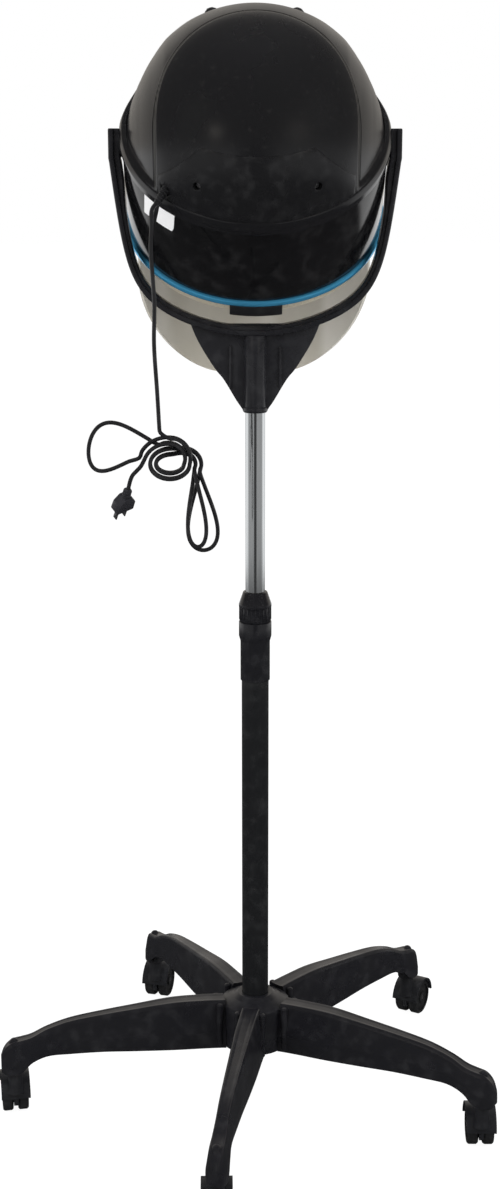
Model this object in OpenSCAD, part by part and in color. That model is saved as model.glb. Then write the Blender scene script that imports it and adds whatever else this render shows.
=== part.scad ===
// Hood hair dryer on a rolling stand: five plastic legs with twin-wheel casters,
// a two-stage pole, a fork, and a tilting hood with a fan, a heater and a visor.
// Frame: origin on the pole axis at floor level, +Z up. The hood opens towards +Y
// and leans forwards, so -Y is the back, with the rear cover and the supply cord.

/* [Base] */
// Radius from the pole axis to the caster stems
stem_reach = 325; // [280:5:360]
// Direction of the first leg, seen from above
leg_start = -99.3; // [-110:0.1:-90]
// Outer radius of the hub
hub_r = 46; // [42:1:50]
// Height of the hub's underside above the floor
hub_z = 84; // [80:1:90]
// Height of the hub, from its underside to its crown
hub_h = 71; // [66:1:76]
// Half width of a leg at the hub
leg_root_w = 19; // [17:0.5:21]
// Half width of a leg at its slimmest, near the tip
leg_tip_w = 11.5; // [10:0.5:13]
// Wall of the leg moulding
leg_wall = 3.5; // [3:0.5:4.5]

/* [Casters] */
// Wheel diameter
wheel_d = 50; // [46:1:52]
// Width of one wheel of the pair
wheel_w = 13.5; // [12:0.5:15]
// Distance that the axle trails behind the stem
trail = 22; // [20:0.5:24]
// Gap from the top of the wheels to the underside of the leg tip
caster_neck = 16; // [15:0.5:20]
// Stem diameter
stem_d = 11; // [10:0.5:12]
// Axle diameter
axle_d = 6; // [5:0.5:7]

/* [Pole] */
// Outer diameter of the lower tube
lower_d = 35; // [33:0.5:38]
// Length of the lower tube
lower_len = 583; // [500:1:650]
// Wall of the lower tube
lower_wall = 1.5; // [1.2:0.1:2]
// Outer diameter of the chrome tube
chrome_d = 25; // [23:0.5:27]
// Wall of the chrome tube
chrome_wall = 1.2; // [1:0.1:1.6]
// Length of chrome tube that shows between the lock nut and the fork at rest
chrome_out = 230; // [180:1:240]
// Length that the hood can be raised from rest
raise = 55; // [40:1:60]
// Outer diameter of the collar body and of the lock nut
collar_d = 42; // [41:0.5:46]
// Length of the thin skirt below the collar body
skirt_h = 52; // [40:1:60]
// Height of the lock nut
nut_h = 39; // [36:1:44]

/* [Fork] */
// Thickness of the fork's arms and bar, measured outwards from the hood
arm_t = 12; // [10:0.5:14]
// Depth of the fork from back to front
fork_d = 26; // [22:1:28]
// Radius of the fork's bottom bar about the tilt axis, outer face
bar_r = 230; // [225:1:236]
// Height of the gusset plate from the socket's foot to the bar's inner face
gusset_h = 107; // [100:1:115]
// Thickness of the gusset plate
gusset_t = 9; // [7:0.5:11]
// Outer diameter of the socket
socket_d = 29; // [28:0.5:33]
// Height of the arm tips above the tilt axis
arm_top = 18; // [14:1:22]

/* [Hood] */
// Forward lean of the hood at rest
hood_lean = 41; // [41:0.5:44]
// Radius of the lower housing
housing_r = 160; // [156:0.5:161]
// Step from the lower housing out to the dome's centre band
dome_step = 2; // [1:0.5:4]
// Step from the centre band down to the dome's sides
side_step = 4; // [3:0.5:5]
// Half width of the centre band
band_half = 118; // [112:1:122]
// Wall of the outer mouldings
shell_wall = 3; // [2.5:0.1:3.4]
// Height of the seam between dome and housing above the tilt axis
seam_t = 17.5; // [16:0.5:20]
// Depth of the lower housing below the tilt axis
housing_depth = 105; // [98:1:108]
// Height of the coloured trim ring
ring_h = 5.5; // [4.5:0.5:7]
// Height of the ribbed collar below the ring
ribbed_h = 16.5; // [14:0.5:18]
// Number of ribs round the collar
rib_count = 110; // [60:1:130]
// Gap between the lower housing's wall and the liner
liner_gap = 14.5; // [13.5:0.5:20]
// Wall of the liner
liner_wall = 2.5; // [2:0.1:3]
// Room between the liner's flat crown and the top of the dome, for fan and motor
crown_room = 69.5; // [68:0.5:76]
// Gap between housing and fork, filled by a friction washer
washer_t = 4.8; // [4.8:0.1:6]

/* [Fan and heater] */
// Radius of the fan wheel
fan_r = 56; // [48:1:58]
// Number of fan blades
blade_count = 24; // [12:1:30]
// Height of the fan blades
blade_h = 16; // [12:0.5:17]
// Radius of the motor
motor_r = 26; // [22:0.5:27]
// Diameter of the motor shaft
shaft_d = 4; // [3:0.5:5]
// Outer radius of the heater frame
heater_r = 90; // [80:1:92]
// Number of cards that carry the heating wire
card_count = 8; // [5:1:12]

/* [Controls] */
// Lean of the knobs off the hood's axis
knob_lean = 58; // [54:0.5:60]
// Swing of each knob to the side of the front
knob_swing = 21.5; // [19:0.5:26]
// Diameter of a knob
knob_d = 18; // [16:0.5:24]
// Height of a knob above its seat
knob_h = 11; // [10:0.5:14]

/* [Visor] */
// Outer radius of the visor
visor_r = 145; // [142:0.5:148]
// Wall of the visor
visor_wall = 2.5; // [2:0.1:3]
// Slope of the visor's lower edge
visor_slope = 45; // [42:0.5:48]
// Depth of the visor at its front, below the hinge pin
visor_drop = 327; // [310:1:340]
// Diameter of the hinge pin
hinge_d = 4; // [3:0.5:5]

/* [Supply cord] */
// Diameter of the cord
cord_d = 5; // [4.5:0.1:5.2]

/* [Hidden] */
$fn = 96;

// Clearances
run = 0.05;      // radial, between a shaft or tube and the hole it turns or slides in
loose = 0.4;     // between mouldings that only pass each other
eps = 1;         // how far a cutter runs past a face

// Stand
leg_step = 72;                      // five legs, evenly spaced
trail_turn = [90, 88, 60, 75, 100]; // where each caster trails to, seen from above
hub_top = hub_z + hub_h;
hub_shoulder = hub_top - 12;        // the crown's cone starts here
plate_t = 3;
tube_floor = 8;                     // solid floor of the hub under the tube
tongue_neck = 8;                    // half width of a leg's dovetail at the hub's rim
tongue_wide = 11;                   // half width of the dovetail at its inner end
tongue_deep = 11;
tongue_top = hub_shoulder - 5;
hub_screw_at = hub_r - 18;          // the hub's screws, from the pole axis
hub_screw_r = 2.5;
hub_screw_up = 13;
stem_r = stem_d / 2;
stem_seat = wheel_d + caster_neck;  // underside of the leg tip
stem_up = 30;                       // length of stem inside the leg
stem_down = 17;                     // length of stem inside the caster
boss_wall = 5;                      // wall round the stem in a leg's tip
root_post_r = 4.5;                  // the two round posts where a leg meets the hub
cross_web_t = 2.5;                  // the webs across a leg's hollow

// Pole, from the floor up
lower_r = lower_d / 2;
lower_bore = lower_r - lower_wall;
lower_z = hub_z + tube_floor;
lower_top = lower_z + lower_len;
collar_r = collar_d / 2;
neck_top = lower_top + 11;          // top of the collar body's neck
nut_z = lower_top - 4;
nut_top = nut_z + nut_h;
neck_r = lower_r + 1.7;
skirt_r = lower_r + 1.5;
grip_h = 19;                        // the lock nut's ribbed band
grip_count = 24;
collar_z = nut_z - 26;              // underside of the collar body
chrome_r = chrome_d / 2;
bush_r = lower_bore - run;
bush_z = lower_top - 75;
bush_flange_r = lower_r - 0.5;
bush_flange_h = 3.5;
socket_z = nut_top + chrome_out;
stop_h = 15;
stop_top = bush_z - raise - 0.5;
chrome_z = stop_top - stop_h;

// Fork
pivot_z = socket_z + gusset_h + bar_r - arm_t;
arm_in = housing_r + washer_t + 0.2;
arm_out = arm_in + arm_t;
arm_straight = 20;                  // depth below the tilt axis where the arms start to lean in
arm_lean = 7.2;                     // lean of the lower arms
corner_power = 12;                  // sharpness of the corner between arm and bar
chrome_top = pivot_z - bar_r - 4;
pivot_d = 10;
pivot_head_d = 19;
pivot_head_h = 4;
washer_r = 15.5;
fork_screw_z = socket_z + 22;
fork_screw_r = 3;

// Hood, in its own axes: x across, s forwards, t along the hood's axis
dome_r = housing_r + dome_step;     // radius of the dome's centre band
side_r = dome_r - side_step;
liner_r = housing_r - shell_wall - liner_gap - liner_wall;
crown_t = dome_r - crown_room - liner_wall;
crown_half = 55;                    // radius of the liner's flat crown
ring_t = -housing_depth;
collar_t = ring_t - ring_h;
mouth_t = collar_t - ribbed_h;
ring_r = housing_r + 3.5;
ribbed_r = housing_r - 4.5;
collar_in = ribbed_r - 5;           // bore of the ribbed collar, where the liner's rim sits
clip_w = 66;                        // the rear clip and its notch in the collar
clip_deep = 12;
clip_out = 4;                       // how far the clip's block starts outside the collar
lip_r = housing_r + 3.4;
lip_h = 4;
ear_r = 18;
ear_in = liner_r + liner_wall + 3;
corner_r = liner_r - crown_half;    // radius of the liner's corner
crown_foot = crown_t - corner_r;    // where the straight wall ends and the crown starts
cover_t = 2.4;                      // thickness of the rear cover
cover_proud = 0.4;
cover_top = dome_r - 69;            // the rear cover's outline, across and along the hood
cover_top_half = 65;
cover_half = band_half - 4;
cover_low = seam_t + lip_h / 2 + 1;
screw_x = 69.5;
screw_t = 53.5;
screw_head_d = 7;
recess_d = 9;
recess_depth = 8;

// Inside the hood
guard_r = crown_half - 5;
guard_ring_w = 2.4;
fan_gap = 4;
fan_t = crown_t + liner_wall + fan_gap;
fan_back = 2;
fan_hub_r = 8;
motor_t = fan_t + blade_h + fan_back + 3;
motor_h = 24;
motor_flange = 3;
post_x = motor_r + 5;
heater_t = crown_t + 4;
card_h = 14;
card_t = 1;

// Knobs: axis, seat and shaft
seat_r = knob_d / 2 + 3;
seat_at = dome_r + 0.5;             // distance of the knob's seat from the tilt axis
switch_d = 34;
switch_depth = 20;
spindle_d = 6;

// Visor
hinge_s = ring_r + 11.5;
hinge_t = ring_t - 7;
knuckle_r = 5;
lug_w = 10;
lug_in = 18;
ear_w = 7;
hinge_y = hinge_s * cos(hood_lean) - hinge_t * sin(hood_lean);
hinge_z = pivot_z + hinge_s * sin(hood_lean) + hinge_t * cos(hood_lean);
visor_front = hinge_y - 2.2;        // outermost face of the visor
visor_y = visor_front - visor_r;
visor_gap = 3;                      // between the ribbed collar and the visor
visor_back = visor_y + 2;           // where the visor's sides end, just short of its widest
visor_line = 9;                     // breadth of the thicker border along the visor's edge
rib_turn = 35;                      // the visor's two upright ribs, off the front

// Supply cord
cord_r = cord_d / 2;
exit_at = [0, 0, pivot_z] + (dome_r - 5.6) * unit([-103, -107, -49]); // foot of the boot
boot_len = 27;
boot_dir = [-0.5, -0.45, -0.74];
knot_drop = 371;                    // from the tilt axis down to the centre of the knot's eye
knot = [-104, -118, pivot_z - knot_drop];
drop_end = knot + [-12, -4, 44];

// ---- shared shapes -------------------------------------------------------------

module tube(r_in, r_out, z0, z1) {
    difference() {
        translate([0, 0, z0]) cylinder(r = r_out, h = z1 - z0);
        translate([0, 0, z0 - eps]) cylinder(r = r_in, h = z1 - z0 + 2 * eps);
    }
}

module rod(r, z0, z1) {
    translate([0, 0, z0]) cylinder(r = r, h = z1 - z0);
}

// Moves its children into the hood's own axes
module in_hood() {
    translate([0, 0, pivot_z]) rotate([hood_lean, 0, 0]) children();
}

// Points +Z of its children along d, from p
module aim(p, d) {
    translate(p) rotate([0, acos(d[2] / norm(d)), atan2(d[1], d[0])]) children();
}

// A solid through equal rings of points, closed with a flat cap at each end
module skin(rings) {
    n = len(rings[0]);
    last = len(rings) - 1;
    polyhedron(
        points = [for (ring = rings) each ring],
        faces = concat(
            [[for (i = [0:n - 1]) i]],
            [for (k = [0:last - 1], i = [0:n - 1])
                each [[k * n + i, (k + 1) * n + i, (k + 1) * n + (i + 1) % n],
                      [k * n + i, (k + 1) * n + (i + 1) % n, k * n + (i + 1) % n]]],
            [[for (i = [0:n - 1]) last * n + n - 1 - i]]));
}

function unit(v) = v / norm(v);

// Direction of a path at point i
function along(path, i) =
    unit(path[min(i + 1, len(path) - 1)] - path[max(i - 1, 0)]);

// Rings of a round tube along a path that never runs along Y
function tube_rings(path, r, sides) = [
    for (i = [0:len(path) - 1])
        let (t = along(path, i), a = unit(cross(t, [0, 1, 0])), b = cross(t, a))
            [for (k = [0:sides - 1])
                path[i] + r * (cos(k * 360 / sides) * a + sin(k * 360 / sides) * b)]];

// A smooth curve through hand-set points, with n steps to each span
function spline(p, n) = [
    for (i = [0:len(p) - 2], k = [0:n - (i < len(p) - 2 ? 1 : 0)])
        let (u = k / n,
             a = p[max(i - 1, 0)], b = p[i], c = p[i + 1], d = p[min(i + 2, len(p) - 1)])
            0.5 * (2 * b + (c - a) * u + (2 * a - 5 * b + 4 * c - d) * u * u
                + (3 * b - a - 3 * c + d) * u * u * u)];

// ---- base ----------------------------------------------------------------------

module at_leg(i) {
    rotate([0, 0, leg_start + i * leg_step]) children();
}

// Dovetail that holds a leg in the hub; gap is the play left round it
module dovetail(gap) {
    translate([0, 0, hub_z - (gap > 0 ? eps : 0)])
        linear_extrude(tongue_top - hub_z + (gap > 0 ? eps : 0) + gap)
            polygon([[hub_r - tongue_deep - gap, tongue_wide + gap],
                     [hub_r + 0.5, tongue_neck + gap],
                     [hub_r + 0.5, -tongue_neck - gap],
                     [hub_r - tongue_deep - gap, -tongue_wide - gap]]);
}

module hub() {
    color("#2b2a2e") difference() {
        union() {
            rod(hub_r, hub_z, hub_shoulder);
            translate([0, 0, hub_shoulder])
                cylinder(r1 = hub_r, r2 = lower_r + 6, h = hub_top - hub_shoulder);
        }
        rod(lower_r, lower_z, hub_top + eps);
        for (i = [0:4]) {
            at_leg(i) dovetail(0.1);
            at_leg(i + 0.5) translate([hub_screw_at, 0, 0])
                rod(hub_screw_r, hub_z - eps, hub_z + hub_screw_up + 1);
        }
    }
}

module hub_plate() {
    color("#232326") difference() {
        rod(hub_r - 4, hub_z - plate_t, hub_z);
        for (i = [0:4])
            at_leg(i + 0.5) translate([hub_screw_at, 0, 0])
                rod(hub_screw_r + 2 * run, hub_z - plate_t - eps, hub_z + eps);
    }
}

module hub_screws() {
    color("#b9bcc0") for (i = [0:4]) at_leg(i + 0.5) translate([hub_screw_at, 0, 0]) {
        rod(hub_screw_r, hub_z - plate_t, hub_z + hub_screw_up);
        rod(2 * hub_screw_r, hub_z - plate_t - 3, hub_z - plate_t);
    }
}

// A leg's stations from root to tip:
// share of the way from hub to stem, rise of the underside above the tip's seat,
// rise of the ridge above that seat, half width below, half width of the ridge
function leg_stations() =
    let (root = hub_z - stem_seat, crown = hub_shoulder - stem_seat, w = leg_root_w, s = leg_tip_w)
    [[0, root, crown + 7, w, w * 0.58],
     [0.09, root + 1, crown + 8, w * 0.97, w * 0.56],
     [0.24, root + 2, crown + 8, w * 0.93, w * 0.54],
     [0.42, root + 4, crown + 3, w * 0.84, w * 0.47],
     [0.58, root + 6, crown - 2, w * 0.74, w * 0.42],
     [0.73, root + 6, crown - 8, s * 1.08, s * 0.62],
     [0.84, root + 5, crown - 17, s, s * 0.58],
     [0.915, 16, 50, s * 1.12, s * 0.66],
     [0.965, 4, 46.5, s * 1.2, s * 0.7],
     [1.01, 0, 44, s * 1.16, s * 0.66],
     [1.045, 0.5, 36, s * 0.95, s * 0.5],
     [1.064, 3, 24, s * 0.6, s * 0.3]];

// One rounded-trapezoid ring of a leg, inset by g all round but the underside
function leg_ring(r, z0, z1, wb, wt, g) =
    let (b = wb - g, t = max(wt - g, 0.6), top = z1 - g, c = min(3.5, (z1 - z0) / 5))
    [[r, b, z0], [r, b - 0.4, z0 + (top - z0) * 0.35], [r, t + 1.5, top - c],
     [r, t, top - c * 0.35], [r, t - 2.2, top], [r, -t + 2.2, top], [r, -t, top - c * 0.35],
     [r, -t - 1.5, top - c], [r, -b + 0.4, z0 + (top - z0) * 0.35], [r, -b, z0]];

module leg(i) {
    reach = stem_reach - hub_r;
    rings = [for (q = leg_stations())
        leg_ring(hub_r + q[0] * reach, stem_seat + q[1], stem_seat + q[2], q[3], q[4], 0)];
    hollow = [for (k = [1:6]) let (q = leg_stations()[k])
        leg_ring(hub_r + q[0] * reach, stem_seat + q[1] - eps, stem_seat + q[2], q[3], q[4],
            leg_wall)];
    color("#2e2d32") at_leg(i) difference() {
        union() {
            difference() {
                skin(rings);
                skin(hollow);
            }
            dovetail(0);
            translate([stem_reach, 0, 0]) rod(stem_r + boss_wall, stem_seat, stem_seat + stem_up + 6);
            for (side = [-1, 1])
                translate([hub_r + 5, side * (leg_root_w - 3), 0])
                    rod(root_post_r, hub_z + 2, hub_shoulder + 3);
            for (k = [2, 4])
                let (q = leg_stations()[k])
                    translate([hub_r + q[0] * reach - cross_web_t / 2, -q[4] - 3, stem_seat + q[1] + 4])
                        cube([cross_web_t, 2 * q[4] + 6, q[2] - q[1] - 12]);
        }
        translate([stem_reach, 0, 0]) rod(stem_r, stem_seat - eps, stem_seat + stem_up);
    }
}

module leg_1() { leg(0); }
module leg_2() { leg(1); }
module leg_3() { leg(2); }
module leg_4() { leg(3); }
module leg_5() { leg(4); }

module caster_stems() {
    color("#c2c4c8") for (i = [0:4]) at_leg(i) translate([stem_reach, 0, 0]) {
        rod(stem_r, stem_seat - stem_down, stem_seat + stem_up);
    }
}

// ---- casters -------------------------------------------------------------------

wheel_in = 3.4;                     // half gap between the pair of wheels
fender_r = wheel_d / 2 + 1.8;
fender_w = wheel_in + wheel_w + 2.4;
fender_wall = 2.8;

// Stem at the origin, wheels trailing along +X
module at_caster(i) {
    at_leg(i) translate([stem_reach, 0, 0])
        rotate([0, 0, trail_turn[i] - leg_start - i * leg_step]) children();
}

module across(r, half) {
    translate([trail, 0, wheel_d / 2]) rotate([90, 0, 0])
        cylinder(r = r, h = 2 * half, center = true);
}

module caster_housing(i) {
    boss_z = wheel_d / 2 + sqrt(pow(fender_r, 2) - pow(trail, 2)) - 4;
    color("#222225") at_caster(i) difference() {
        union() {
            difference() {
                across(fender_r + fender_wall, fender_w);
                across(fender_r, fender_w + eps);
                translate([-wheel_d, -wheel_d, 3 - wheel_d / 2])
                    cube([2 * wheel_d + trail, 2 * wheel_d, wheel_d]);
            }
            intersection() {
                across(fender_r + 1, wheel_in - 0.4);
                translate([-wheel_d, -wheel_d, wheel_d / 2 - 8])
                    cube([3 * wheel_d, 2 * wheel_d, wheel_d]);
            }
            rod(stem_r + 4, boss_z, stem_seat - loose);
            translate([0, 0, boss_z]) cylinder(r1 = stem_r + 7, r2 = stem_r + 4, h = 9);
        }
        rod(stem_r + run, stem_seat - stem_down - loose, stem_seat);
        across(axle_d / 2 + run, wheel_in + eps);
        for (side = [-1, 1]) translate([0, side * (wheel_in - 0.4 + wheel_w / 2 + eps), 0])
            across(wheel_d / 2 + 0.8, wheel_w / 2 + eps);
    }
}

module caster_wheels(i) {
    color("#1c1c1e") at_caster(i) for (side = [-1, 1])
        translate([trail, side * (wheel_in + wheel_w / 2), wheel_d / 2]) rotate([90, 0, 0])
            difference() {
                union() {
                    cylinder(r = wheel_d / 2, h = wheel_w - 4, center = true);
                    for (end = [-1, 1]) translate([0, 0, end * (wheel_w / 2 - 1)])
                        cylinder(r1 = wheel_d / 2 - (end > 0 ? 0 : 1.6),
                            r2 = wheel_d / 2 - (end > 0 ? 1.6 : 0), h = 2, center = true);
                }
                cylinder(r = axle_d / 2, h = wheel_w + 2 * eps, center = true);
                translate([0, 0, -side * (wheel_w / 2 - 1)])
                    difference() {
                        cylinder(r = wheel_d / 2 - 5, h = 2.4, center = true);
                        cylinder(r = axle_d / 2 + 5, h = 3, center = true);
                    }
            }
}

module caster_axle(i) {
    color("#c2c4c8") at_caster(i) across(axle_d / 2, wheel_in + wheel_w);
}

module caster_1_housing() { caster_housing(0); }
module caster_2_housing() { caster_housing(1); }
module caster_3_housing() { caster_housing(2); }
module caster_4_housing() { caster_housing(3); }
module caster_5_housing() { caster_housing(4); }
module caster_1_axle() { caster_axle(0); }
module caster_2_axle() { caster_axle(1); }
module caster_3_axle() { caster_axle(2); }
module caster_4_axle() { caster_axle(3); }
module caster_5_axle() { caster_axle(4); }
module caster_1_wheels() { caster_wheels(0); }
module caster_2_wheels() { caster_wheels(1); }
module caster_3_wheels() { caster_wheels(2); }
module caster_4_wheels() { caster_wheels(3); }
module caster_5_wheels() { caster_wheels(4); }

// ---- pole ----------------------------------------------------------------------

module lower_tube() {
    color("#26262a") tube(lower_bore, lower_r, lower_z, lower_top);
}

module collar_body() {
    color("#1d1d20") difference() {
        union() {
            rod(skirt_r, collar_z - skirt_h, collar_z);
            translate([0, 0, collar_z]) cylinder(r1 = skirt_r, r2 = collar_r, h = 7);
            rod(collar_r, collar_z + 7, nut_z);
            rod(neck_r, nut_z, neck_top);
        }
        rod(lower_r, collar_z - skirt_h - eps, lower_top);
        rod(lower_bore, lower_top - eps, neck_top + eps);
    }
}

module lock_nut() {
    grip_top = nut_z + grip_h;
    cavity_top = neck_top + loose + bush_flange_h + loose;
    color("#1d1d20") difference() {
        union() {
            rod(collar_r - 1, nut_z + loose, grip_top);
            rod(collar_r, grip_top, grip_top + 4);
            translate([0, 0, grip_top + 4])
                cylinder(r1 = collar_r, r2 = chrome_r + 3, h = nut_top - grip_top - 4);
            for (k = [0:grip_count - 1]) rotate([0, 0, k * 360 / grip_count])
                translate([collar_r - 1, 0, 0]) rod(0.8, nut_z + 2, grip_top);
        }
        rod(neck_r + run, nut_z - eps, neck_top + loose);
        rod(lower_r, neck_top, cavity_top);
        rod(chrome_r + 0.3, cavity_top - eps, nut_top + eps);
    }
}

module split_bush() {
    color("#e4e2da") difference() {
        union() {
            rod(bush_r, bush_z, neck_top + loose);
            rod(bush_flange_r, neck_top + loose, neck_top + loose + bush_flange_h);
        }
        rod(chrome_r + run, bush_z - eps, neck_top + 2 * bush_flange_h);
        translate([0, -1, bush_z - eps])
            cube([lower_d, 2, neck_top - bush_z + 2 * bush_flange_h]);
    }
}

module chrome_tube() {
    color("#d9dcdf") tube(chrome_r - chrome_wall, chrome_r, chrome_z, chrome_top);
}

module tube_stop() {
    color("#5a5a5e") difference() {
        rod(lower_bore - 0.1, chrome_z - 2, stop_top);
        rod(chrome_r, chrome_z, stop_top + eps);
        rod(chrome_r - chrome_wall - 1, chrome_z - 2 - eps, chrome_z + eps);
    }
}

// ---- fork ----------------------------------------------------------------------

// Distance of the fork's outer face from the tilt axis, phi up from straight down.
// The leaning arm and the round bar are blended by a power mean.
function fork_reach(phi) =
    let (arm = (arm_out * cos(arm_lean) + arm_straight * sin(arm_lean))
             / max(sin(phi) * cos(arm_lean) + cos(phi) * sin(arm_lean), 0.01))
    pow(pow(bar_r, -corner_power) + pow(arm, -corner_power), -1 / corner_power);

// The fork's cross-section: share of the thickness from the inner face,
// depth from back to front. The back has a raised outer ridge.
fork_points = let (d = fork_d / 2, step = 2.5)
    [[0.14, step - d], [0.46, step - d], [0.54, -d], [0.84, -d], [1, 2 - d], [1, d - 2],
     [0.84, d], [0.14, d], [0, d - 2], [0, step + 1.5 - d]];

// That section in the bow, with its outer face at r from the tilt axis
function fork_section(r, phi) = [
    for (q = fork_points) let (reach = r - arm_t * (1 - q[0]))
        [reach * sin(phi), q[1], pivot_z - reach * cos(phi)]];

// That section in the straight top of an arm, at height z above the tilt axis
function arm_section(side, z, shrink) = [
    for (q = fork_points)
        [side * (arm_in + arm_t / 2 + arm_t * (q[0] - 0.5) * shrink), q[1] * shrink, pivot_z + z]];

module fork_bow() {
    top_phi = 83;                   // where the bow ends and the straight tops start
    n = 15;
    skin(concat(
        [arm_section(-1, arm_top, 0.82), arm_section(-1, arm_top - 1.6, 1),
         arm_section(-1, -arm_straight + 3, 1)],
        [for (k = [-n:n]) fork_section(fork_reach(abs(k) * top_phi / n), k * top_phi / n)],
        [arm_section(1, -arm_straight + 3, 1), arm_section(1, arm_top - 1.6, 1),
         arm_section(1, arm_top, 0.82)]));
}

// Gusset outline: half width against height above the socket's foot
gusset_outline = [[socket_d / 2 - 0.5, 0], [socket_d / 2 + 2, 5], [24, 16], [39, 41], [51, 56],
    [70, 87], [79, gusset_h + 2]];
gusset_rib_x = 31;                  // the two upright ribs on the gusset
gusset_rib_z = 30;                  // their foot, above the socket's
gusset_rib_h = 53;

module fork() {
    color("#2d2c31") difference() {
        union() {
            fork_bow();
            translate([0, gusset_t / 2, socket_z]) rotate([90, 0, 0])
                linear_extrude(gusset_t)
                    polygon(concat(gusset_outline,
                        [for (k = [len(gusset_outline) - 1:-1:0])
                            [-gusset_outline[k][0], gusset_outline[k][1]]]));
            rod(socket_d / 2, socket_z, pivot_z - bar_r + 3);
            for (side = [-1, 1])
                translate([side * gusset_rib_x, 0, socket_z + gusset_rib_z + gusset_rib_h / 2])
                    cube([3, gusset_t + 5, gusset_rib_h], center = true);
        }
        rod(chrome_r, socket_z - eps, chrome_top);
        for (side = [-1, 1]) translate([0, 0, pivot_z]) rotate([0, side * 90, 0]) {
            rod(pivot_d / 2, arm_in - eps, arm_out);
            rod(pivot_head_d / 2, arm_out - pivot_head_h, arm_out + 2 * eps);
        }
        translate([0, 0, fork_screw_z]) rotate([-90, 0, 0])
            rod(fork_screw_r, chrome_r - eps, socket_d);
    }
}

module fork_screw() {
    color("#b9bcc0") translate([0, 0, fork_screw_z]) rotate([-90, 0, 0]) {
        rod(fork_screw_r, chrome_r, socket_d / 2 + 0.5);
        rod(4.6, socket_d / 2 + 0.5, socket_d / 2 + 3.5);
    }
}

module pivot_screws() {
    color("#b9bcc0") for (side = [-1, 1])
        translate([0, 0, pivot_z]) rotate([0, side * 90, 0]) {
            rod(pivot_d / 2, ear_in + 1, arm_out - pivot_head_h);
            rod(pivot_head_d / 2, arm_out - pivot_head_h, arm_out);
        }
}

module friction_washers() {
    color("#cfcac0") for (side = [-1, 1])
        translate([0, 0, pivot_z]) rotate([0, side * 90, 0])
            tube(pivot_d / 2, washer_r, arm_in - washer_t, arm_in);
}

// ---- hood shells ---------------------------------------------------------------

// Section of the dome through its axis of revolution, which is the tilt axis, shrunk by g:
// a centre band that stands proud of the two sides
module dome_section(g) {
    intersection() {
        union() {
            intersection() {
                circle(r = dome_r - g);
                square([4 * dome_r, 2 * (band_half - g)], center = true);
            }
            circle(r = side_r - g);
        }
        translate([0, -2 * dome_r]) square(4 * dome_r);
    }
}

module dome_wall() {
    difference() {
        rotate([0, 90, 0]) rotate_extrude() difference() {
            dome_section(0);
            dome_section(shell_wall);
        }
        translate([0, 0, seam_t - 2 * dome_r]) cube(4 * dome_r, center = true);
    }
}

module cover_outline(grow) {
    polygon([[-cover_top_half - grow, cover_top + grow], [cover_top_half + grow, cover_top + grow],
             [cover_half + grow, cover_top - (cover_half - cover_top_half) + grow],
             [cover_half + grow, cover_low - grow], [-cover_half - grow, cover_low - grow],
             [-cover_half - grow, cover_top - (cover_half - cover_top_half) + grow]]);
}

// Prism of the rear cover's outline through the back of the hood
module cover_prism(grow) {
    rotate([90, 0, 0]) linear_extrude(2 * dome_r) cover_outline(grow);
}

// The two screw places of the rear cover, +Z outwards
module at_cover_screws() {
    s = sqrt(pow(dome_r, 2) - pow(screw_x, 2) - pow(screw_t, 2));
    for (side = [-1, 1]) aim([0, 0, 0], [side * screw_x, -s, screw_t]) children();
}

// A knob's axis, +Z outwards; side -1 is the left one seen from the back
module at_knob(side) {
    in_hood() rotate([0, 0, 90 - side * knob_swing]) rotate([0, knob_lean, 0]) children();
}

module exit_hole(r) {
    aim(exit_at, boot_dir) rod(r, -16, 40);
}

// Raised flange under the dome's rim, with a rounded bead outside
module dome_lip() {
    rotate_extrude() union() {
        translate([lip_r - lip_h / 2, seam_t + lip_h / 2]) circle(d = lip_h, $fn = 24);
        translate([side_r - shell_wall - 0.5, seam_t])
            square([lip_r - side_r + shell_wall - 1.5, lip_h]);
    }
}

module top_shell() {
    inner = dome_r - shell_wall;
    post_top = sqrt(pow(inner, 2) - pow(post_x, 2)) + 0.5;
    color("#37363c") difference() {
        union() {
            in_hood() dome_wall();
            in_hood() dome_lip();
            in_hood() for (k = [0:2]) rotate([0, 0, 90 + k * 120]) translate([post_x, 0, 0])
                rod(4, motor_t + motor_h, post_top);
            in_hood() at_cover_screws() rod(7, inner - recess_depth - 1, inner + 0.3);
            for (side = [-1, 1]) at_knob(side) rod(seat_r, seat_at - 5, seat_at);
        }
        in_hood() difference() {
            cover_prism(loose);
            sphere(r = dome_r - cover_t);
        }
        in_hood() at_cover_screws() rod(recess_d / 2, dome_r - recess_depth, dome_r + 2);
        in_hood() at_cover_screws() rod(2, dome_r - recess_depth - 3, dome_r);
        for (side = [-1, 1]) at_knob(side) rod(spindle_d / 2 + run, inner - 10, seat_at + eps);
        exit_hole(6);
    }
}

module rear_cover() {
    color("#3a393f") difference() {
        in_hood() difference() {
            intersection() {
                cover_prism(0);
                sphere(r = dome_r + cover_proud);
            }
            sphere(r = dome_r - cover_t);
            at_cover_screws() rod(recess_d / 2, dome_r - 10, dome_r + 4);
        }
        exit_hole(6);
    }
}

module cover_screws() {
    color("#8d8f94") in_hood() at_cover_screws() {
        rod(screw_head_d / 2, dome_r - recess_depth, dome_r - recess_depth + 2.5);
        rod(2, dome_r - recess_depth - 2.5, dome_r - recess_depth);
    }
}

module lower_housing() {
    color("#302f34") in_hood() difference() {
        union() {
            tube(housing_r - shell_wall, housing_r, ring_t, seam_t);
            for (side = [-1, 1]) rotate([0, side * 90, 0])
                rod(ear_r, ear_in, housing_r);
        }
        for (side = [-1, 1]) rotate([0, side * 90, 0]) {
            rod(pivot_d / 2 + run, ear_in - eps, housing_r + eps);
        }
        translate([0, 0, seam_t]) rod(housing_r + eps, 0, ear_r);
    }
}

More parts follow.
